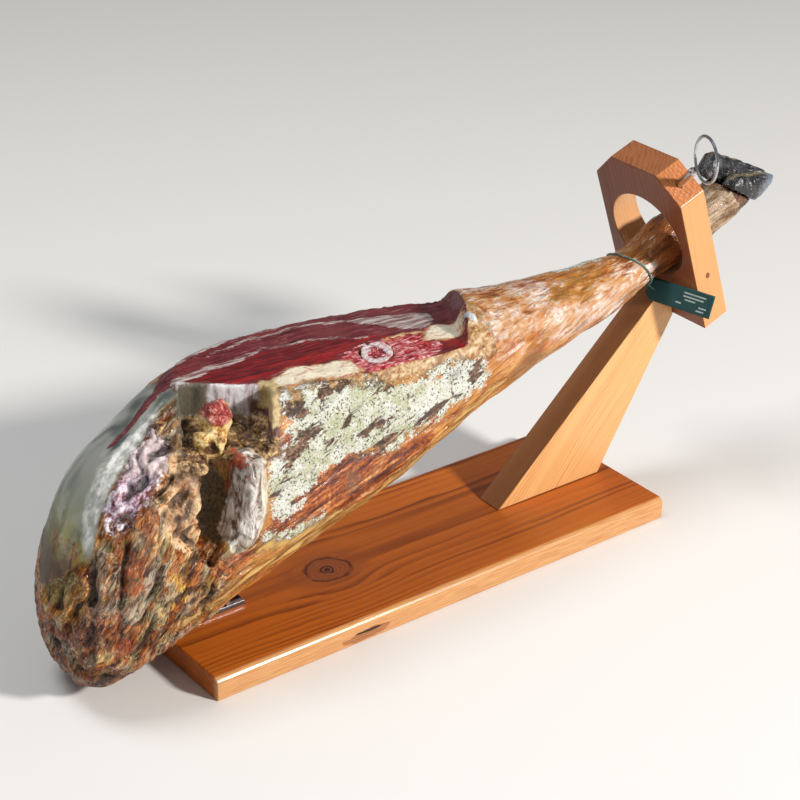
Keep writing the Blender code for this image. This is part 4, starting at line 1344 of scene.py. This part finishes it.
def ham_relief(places, normals, zones, look):
    """Heights over the smooth ham in metres, and how deep each wrinkle is from -1 to 1."""
    at = relief_patterns(places, normals, zones, look)
    fold_heights(at, zones)
    skin_heights(at, zones)
    lump_heights(at, zones)
    x, _, z = at.places.T
    held = rise(x, 0.25, 0.262) * rise(-x, -0.325, -0.312) * rise(-at.normals[:, 2], 0.2, 0.6)
    low = rise(0.034 - z, 0, 0.008)
    at.height = np.where(low + held > 0.5, least(at.height, 0.0002), at.height)
    relief = np.clip(at.wrinkle * 0.55 + at.folded + at.near_side * at.ridges * 0.3, -1, 1)
    return (at.height, relief)


# ------------------------------------------------------------------ operators


class Maker(bpy.types.Operator):
    """Shared part of every operator: it finishes or it raises an error."""

    bl_options = {"REGISTER", "UNDO"}

    def execute(self, context):
        self.make(context.scene.ham_look, context.scene.stand_look)
        return {"FINISHED"}


class HAM_OT_stage(Maker):
    """Adds the pale floor, the studio lights and the camera."""

    bl_idname = "ham.stage"
    bl_label = "Stage"

    def make(self, ham, stand):
        scene = bpy.context.scene
        scene.view_settings.view_transform = "Standard"
        self.floor(scene)
        self.sky(scene)
        for row in LIGHTS:
            self.light(*row)
        self.camera(scene)

    def floor(self, scene):
        floor = Recipe("studio_floor")
        floor.colour = floor.mix(floor.noise(1.5, 2.0), (232, 230, 227), (237, 235, 232))
        floor.rough = 0.7
        bm = bmesh.new()
        bmesh.ops.create_circle(bm, cap_ends=True, segments=96, radius=40.0)
        mesh = bpy.data.meshes.new("floor")
        bm.to_mesh(mesh)
        bm.free()
        mesh.materials.append(floor.done())
        obj = bpy.data.objects.new("floor", mesh)
        scene.collection.objects.link(obj)

    def sky(self, scene):
        world = bpy.data.worlds.new("studio")
        world.use_nodes = True
        sky = world.node_tree.nodes["Background"]
        sky.inputs["Color"].default_value = SKY_COLOUR
        sky.inputs["Strength"].default_value = SKY_STRENGTH
        scene.world = world

    def camera(self, scene):
        lens = bpy.data.cameras.new("view")
        lens.lens = CAMERA_LENS
        lens.sensor_width = 36.0
        lens.clip_start, lens.clip_end = 0.05, 120.0
        camera = bpy.data.objects.new("view", lens)
        scene.collection.objects.link(camera)
        ahead = CAMERA_AHEAD.normalized()
        right = ahead.cross(Vector((0, 0, 1))).normalized()
        up = right.cross(ahead)
        level = right * math.cos(CAMERA_ROLL) + up * math.sin(CAMERA_ROLL)
        rising = up * math.cos(CAMERA_ROLL) - right * math.sin(CAMERA_ROLL)
        turn = Matrix((level, rising, -ahead)).transposed().to_4x4()
        camera.matrix_world = Matrix.Translation(CAMERA_PLACE) @ turn
        scene.camera = camera

    def light(self, name, place, target, size, power, colour):
        lamp = bpy.data.lights.new(name, "AREA")
        lamp.shape = "DISK"
        lamp.size = size
        lamp.energy = power
        lamp.color = colour
        obj = bpy.data.objects.new(name, lamp)
        bpy.context.scene.collection.objects.link(obj)
        way = Vector(target) - Vector(place)
        turn = way.to_track_quat("-Z", "Y").to_matrix().to_4x4()
        obj.matrix_world = Matrix.Translation(place) @ turn


class HAM_OT_wood(Maker):
    """Finishes the board, the post and the head plate as varnished pine."""

    bl_idname = "ham.wood"
    bl_label = "Wooden stand"

    def make(self, ham, stand):
        board = pine_coats(
            "board_pine", stand.board, stand.board_dark, (0, 0, 0), (0, 0, 0), (0.012, -0.06), 0.0046,
            knots=[(BOARD_KNOT, 0.024)], finish=board_finish,
        )
        post = pine_coats(
            "post_pine", stand.post, stand.post_dark, (0, math.radians(49.9), 0), (0, 0, 0), (0.16, 0.03),
            0.0022, finish=post_painted_shade,
        )
        turn = (0, math.radians(90) + PLATE_TILT, 0)
        out = Vector((math.cos(PLATE_TILT), 0, math.sin(PLATE_TILT)))
        shift = (-PLATE_PLACE.dot(PLATE_UP), 0, PLATE_PLACE.dot(out))
        plate = pine_coats(
            "plate_pine", stand.plate, stand.plate_dark, turn, shift, (0.06, 0.03), 0.0042,
            finish=plate_finish,
        )
        painted({"base_board": board, "post": post, "head_plate": plate})


class HAM_OT_steel(Maker):
    """Finishes the clamp screw and its ring as bright steel, and the spike bar as steel darkened by
    painted shade.
    """

    bl_idname = "ham.steel"
    bl_label = "Steel fittings"

    def make(self, ham, stand):
        colour = stand.steel
        # painted shade: the spike bar under the ham is darkened to 9 % of the steel's colour
        bar = steel_coats("bar_steel", tuple(c * 0.09 for c in colour), (0.03, 0.0005, 0.03), 0.0241)
        rod = steel_coats("screw_steel", colour, (0.004, 0.004, 0.004))
        ring = steel_coats("ring_steel", colour, (0.006, 0.006, 0.006))
        painted({"spike_bar": bar, "clamp_screw": rod, "ring_handle": ring})


class HAM_OT_ham(Maker):
    """Builds the ham: its rind, mould, folds, carved face, notch and hollow."""

    bl_idname = "ham.ham"
    bl_label = "Ham"

    def make(self, ham, stand):
        bm = remeshed("ham", ham.grain)
        places, normals = spots(bm)
        zones = ham_zones(places, normals)
        sharp = (np.abs(zones["cut"]) < 6) | (zones["cut"] > 0) | (zones["hip_wall"] > -3)
        sharp |= places[:, 0] > 0.30
        bm.verts.ensure_lookup_table()
        smoothed(bm, 2)
        smoothed(bm, 9, [v for v, keep in zip(bm.verts, sharp) if not keep])
        places, normals = spots(bm)
        zones = ham_zones(places, normals)
        height, relief = ham_relief(places, normals, zones, ham)
        pushed(bm, places, normals, height)
        marked(bm, relief=relief, **zones)
        new_piece("ham_body", bm, ham_coats(ham), node="ham")


class HAM_OT_bones(Maker):
    """Builds the sawn thigh bone and the ends of the hip bone."""

    bl_idname = "ham.bones"
    bl_label = "Bones"

    def make(self, ham, stand):
        self.thigh_end()
        self.hip_ends()

    def thigh_end(self):
        bm = remeshed("thigh_bone", 0.0007)
        places, normals = spots(bm)
        x, y = places[:, 0] - BONE_PLACE.x, places[:, 1] - BONE_PLACE.y
        u = x * math.cos(BONE_TURN) + y * math.sin(BONE_TURN)
        v = y * math.cos(BONE_TURN) - x * math.sin(BONE_TURN)
        sway = 1 + 0.10 * field(places, (0.012, 0.012, 1.0), 23.0)
        places[:, 0] = BONE_PLACE.x + x * sway
        places[:, 1] = BONE_PLACE.y + y * sway
        wave = 1 + 0.30 * field(places, (0.008, 0.008, 1.0), 13.0)
        reach = np.hypot(u / (BONE_HALF[0] * 0.60), v / (BONE_HALF[1] * 0.56)) * wave
        top = rise(normals[:, 2], 0.5, 0.8)
        marrow = (1 - reach) * 6 + field(places, 0.004) * 1.2
        lumpy = field(places, 0.0025, 3.0)
        height = top * (-0.0012 * rise(marrow, -1, 2) + 0.0004 * lumpy)
        height += top * 0.0006 * rise(-marrow, 0, 3)
        pushed(bm, places, normals, height)
        marked(bm, marrow=least(marrow, top * 20 - 10), side=(0.5 - top) * 8)
        new_piece("thigh_bone_end", bm, bone_coats(), node="thigh_bone")

    def hip_ends(self):
        bm = remeshed("hip_bone", 0.0008)
        smoothed(bm, 3)
        places, normals = spots(bm)
        height = field(places, 0.011, 8.0) * 0.0022 + field(places, 0.006) * 0.0014
        height += rise(0.216 - places[:, 2], 0, 0.006) * 0.0022
        pushed(bm, places, normals, height + field(places, 0.003, 4.0) * 0.0005)
        crown = (places[:, 2] - 0.217) * 700 + field(places, 0.008, 6.0) * 3.5
        bare = np.hypot(places[:, 0] + 0.211, places[:, 2] - 0.224)
        bare = bare + most(0.224 - places[:, 2], 0) * 0.5
        crown = least(crown, (0.0112 - bare) * 900)
        dip = rise(0.0075 - np.hypot(places[:, 0] + 0.2250, places[:, 2] - 0.2035), 0, 0.006)
        places, normals = spots(bm)
        pushed(bm, places, normals, -dip * 0.0025 * rise(-normals[:, 1], 0, 0.5))
        marked(bm, marrow=crown, dip=dip * 8 - 3)
        new_piece("hip_bone_knobs", bm, knuckle_coats(), node="hip_bone")


class HAM_OT_hoof(Maker):
    """Builds the two claws of the hoof with growth lines and a worn ridge."""

    bl_idname = "ham.hoof"
    bl_label = "Hoof"

    def make(self, ham, stand):
        horn = horn_coats()
        for node, name in (("claw_near", "hoof_near"), ("claw_far", "hoof_far")):
            bm = remeshed(node, 0.0009)
            smoothed(bm, 5)
            places, normals = spots(bm)
            low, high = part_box(node)
            share = (places[:, 0] - low.x) / (high.x - low.x)
            rings = field(places, (0.0035, 0.02, 0.02), 2.0)
            height = rings * 0.00035 + field(places, 0.007, 5.0) * 0.0006
            pushed(bm, places, normals, height)
            middle = (low.y + high.y) / 2
            ridge = normals[:, 2] * 9 - 6.5 - np.abs(places[:, 1] - middle) * 700
            # where the painted highlight lies on the near claw's tip
            tip = (share - 0.62) * 20 - normals[:, 2] * 4 if node == "claw_near" else share * 0 - 20
            marked(bm, ridge=ridge, tip=tip)
            new_piece(name, bm, horn, node=node)


def tag_sides():
    """The tag's ways across and out of its face, square to the way it runs."""
    across = (TAG_DROP - TAG_RUN * TAG_DROP.dot(TAG_RUN)).normalized()
    return across, TAG_RUN.cross(across)


def between_sides(side, across, angle):
    return side * math.cos(angle) + across * math.sin(angle)


class HAM_OT_tag(Maker):
    """Builds the green tag and the twisted cord that ties it to the shank."""

    bl_idname = "ham.tag"
    bl_label = "Tag and cord"

    def make(self, ham, stand):
        self.card(stand)
        route = self.route()
        cord = self.cord(route, stand)
        long = sum((b - a).length for a, b in zip(route, route[1:]))

    def card(self, stand):
        drop, face = tag_sides()
        length, width, thick = TAG_SIZE
        bm = bmesh.new()
        bmesh.ops.create_grid(bm, x_segments=38, y_segments=11, size=0.5)
        uv = bm.loops.layers.uv.new("UVMap")
        for f in bm.faces:
            for loop in f.loops:
                loop[uv].uv = ((loop.vert.co.x + 0.5) * length, (loop.vert.co.y + 0.5) * width)
        for vert in bm.verts:
            along, across = (vert.co.x + 0.5) * length, vert.co.y * width
            clip = max(0.0, 0.006 - along) + abs(across) - width / 2
            if clip > 0:
                across -= math.copysign(clip, across)
            bow = 0.0007 * math.sin(along / length * math.pi) - 0.0005 * (along / length)
            place = TAG_EYE + TAG_RUN * (along - TAG_EYE_INSET) + drop * across
            vert.co = place + face * (bow - 0.0003)
        bmesh.ops.solidify(bm, geom=bm.faces[:], thickness=thick)
        new_piece("tag_card", bm, tag_coats(stand), node="tag")

    def route(self):
        """Once round the shank on its skin, then down to the tag's eye."""
        ham = bpy.data.objects["ham_body"]
        skin = BVHTree.FromObject(ham, bpy.context.evaluated_depsgraph_get())
        points = []
        for step in range(LOOP_STEPS):
            angle = math.radians(LOOP_START + LOOP_SWEEP * step / (LOOP_STEPS - 1))
            x = LOOP_MIDDLE[0] + LOOP_SLANT * math.cos(angle - LOOP_LEAN)
            way = Vector((0, math.cos(angle), math.sin(angle)))
            middle = Vector((x, 0, LOOP_MIDDLE[1] + (x - LOOP_MIDDLE[0]) * SHANK_RISE))
            hit = skin.ray_cast(middle + way * LOOP_REACH, -way)[0]
            if hit is None:
                raise RuntimeError("the cord's route found no skin")
            points.append(hit + way * (STRING_RADIUS + 0.0002))
        _, face = tag_sides()
        outside = face if face.x < 0 else -face
        end = TAG_EYE + outside * (TAG_SIZE[2] / 2 + STRING_RADIUS + 0.0004)
        leave = points[-1]
        control = leave + (points[-1] - points[-2]).normalized() * 0.006
        for step in range(1, 8):
            t = step / 7
            points.append(leave * (1 - t) ** 2 + control * 2 * t * (1 - t) + end * t**2)
        return points

    def cord(self, route, stand):
        """Three strands laid round one another along the route."""
        fine = []
        for a, b in zip(route, route[1:]):
            fine += [a.lerp(b, k / 6) for k in range(6)]
        fine.append(route[-1])
        bm = bmesh.new()
        side = (fine[1] - fine[0]).orthogonal().normalized()
        rings = [[] for _ in range(3)]
        travelled = 0.0
        for index, place in enumerate(fine):
            ahead = (fine[min(index + 1, len(fine) - 1)] - fine[max(index - 1, 0)]).normalized()
            side = (side - ahead * side.dot(ahead)).normalized()
            across = ahead.cross(side)
            if index:
                travelled += (place - fine[index - 1]).length
            for strand in range(3):
                spin = travelled / STRAND_LAY * math.tau + strand * math.tau / 3
                core = place + between_sides(side, across, spin) * STRING_RADIUS * STRAND_CORE
                turns = [between_sides(side, across, k * math.tau / 6) for k in range(6)]
                ring = [bm.verts.new(core + way * STRING_RADIUS * STRAND_RADIUS) for way in turns]
                edges = [bm.edges.new((a, b)) for a, b in zip(ring, ring[1:] + ring[:1])]
                if rings[strand]:
                    bmesh.ops.bridge_loops(bm, edges=rings[strand][-1] + edges)
                rings[strand].append(edges)
        for strand in rings:
            for end in (strand[0], strand[-1]):
                bmesh.ops.edgeloop_fill(bm, edges=end)
        return new_piece("tag_cord", bm, cord_coats(stand.string), node="tag_string")


class HAM_PT_panel(bpy.types.Panel):
    """Lists the pieces and their settings in the sidebar."""

    bl_idname = "HAM_PT_panel"
    bl_label = "Ham on its stand"
    bl_space_type = "VIEW_3D"
    bl_region_type = "UI"
    bl_category = "Ham"

    def draw(self, context):
        for operator in OPERATORS:
            self.layout.operator(operator.bl_idname)
        for group in (context.scene.ham_look, context.scene.stand_look):
            box = self.layout.box()
            for name in group.__annotations__:
                box.prop(group, name)


OPERATORS = (HAM_OT_stage, HAM_OT_wood, HAM_OT_steel, HAM_OT_ham, HAM_OT_bones, HAM_OT_hoof, HAM_OT_tag)
CLASSES = (HamLook, StandLook, *OPERATORS, HAM_PT_panel)


def register():
    for kind in CLASSES:
        bpy.utils.register_class(kind)
    bpy.types.Scene.ham_look = bpy.props.PointerProperty(type=HamLook)
    bpy.types.Scene.stand_look = bpy.props.PointerProperty(type=StandLook)


def unregister():
    del bpy.types.Scene.stand_look
    del bpy.types.Scene.ham_look
    for kind in reversed(CLASSES):
        bpy.utils.unregister_class(kind)


def main():
    register()
    for operator in OPERATORS:
        group, name = operator.bl_idname.split(".")
        getattr(getattr(bpy.ops, group), name)()


if __name__ == "__main__":
    main()
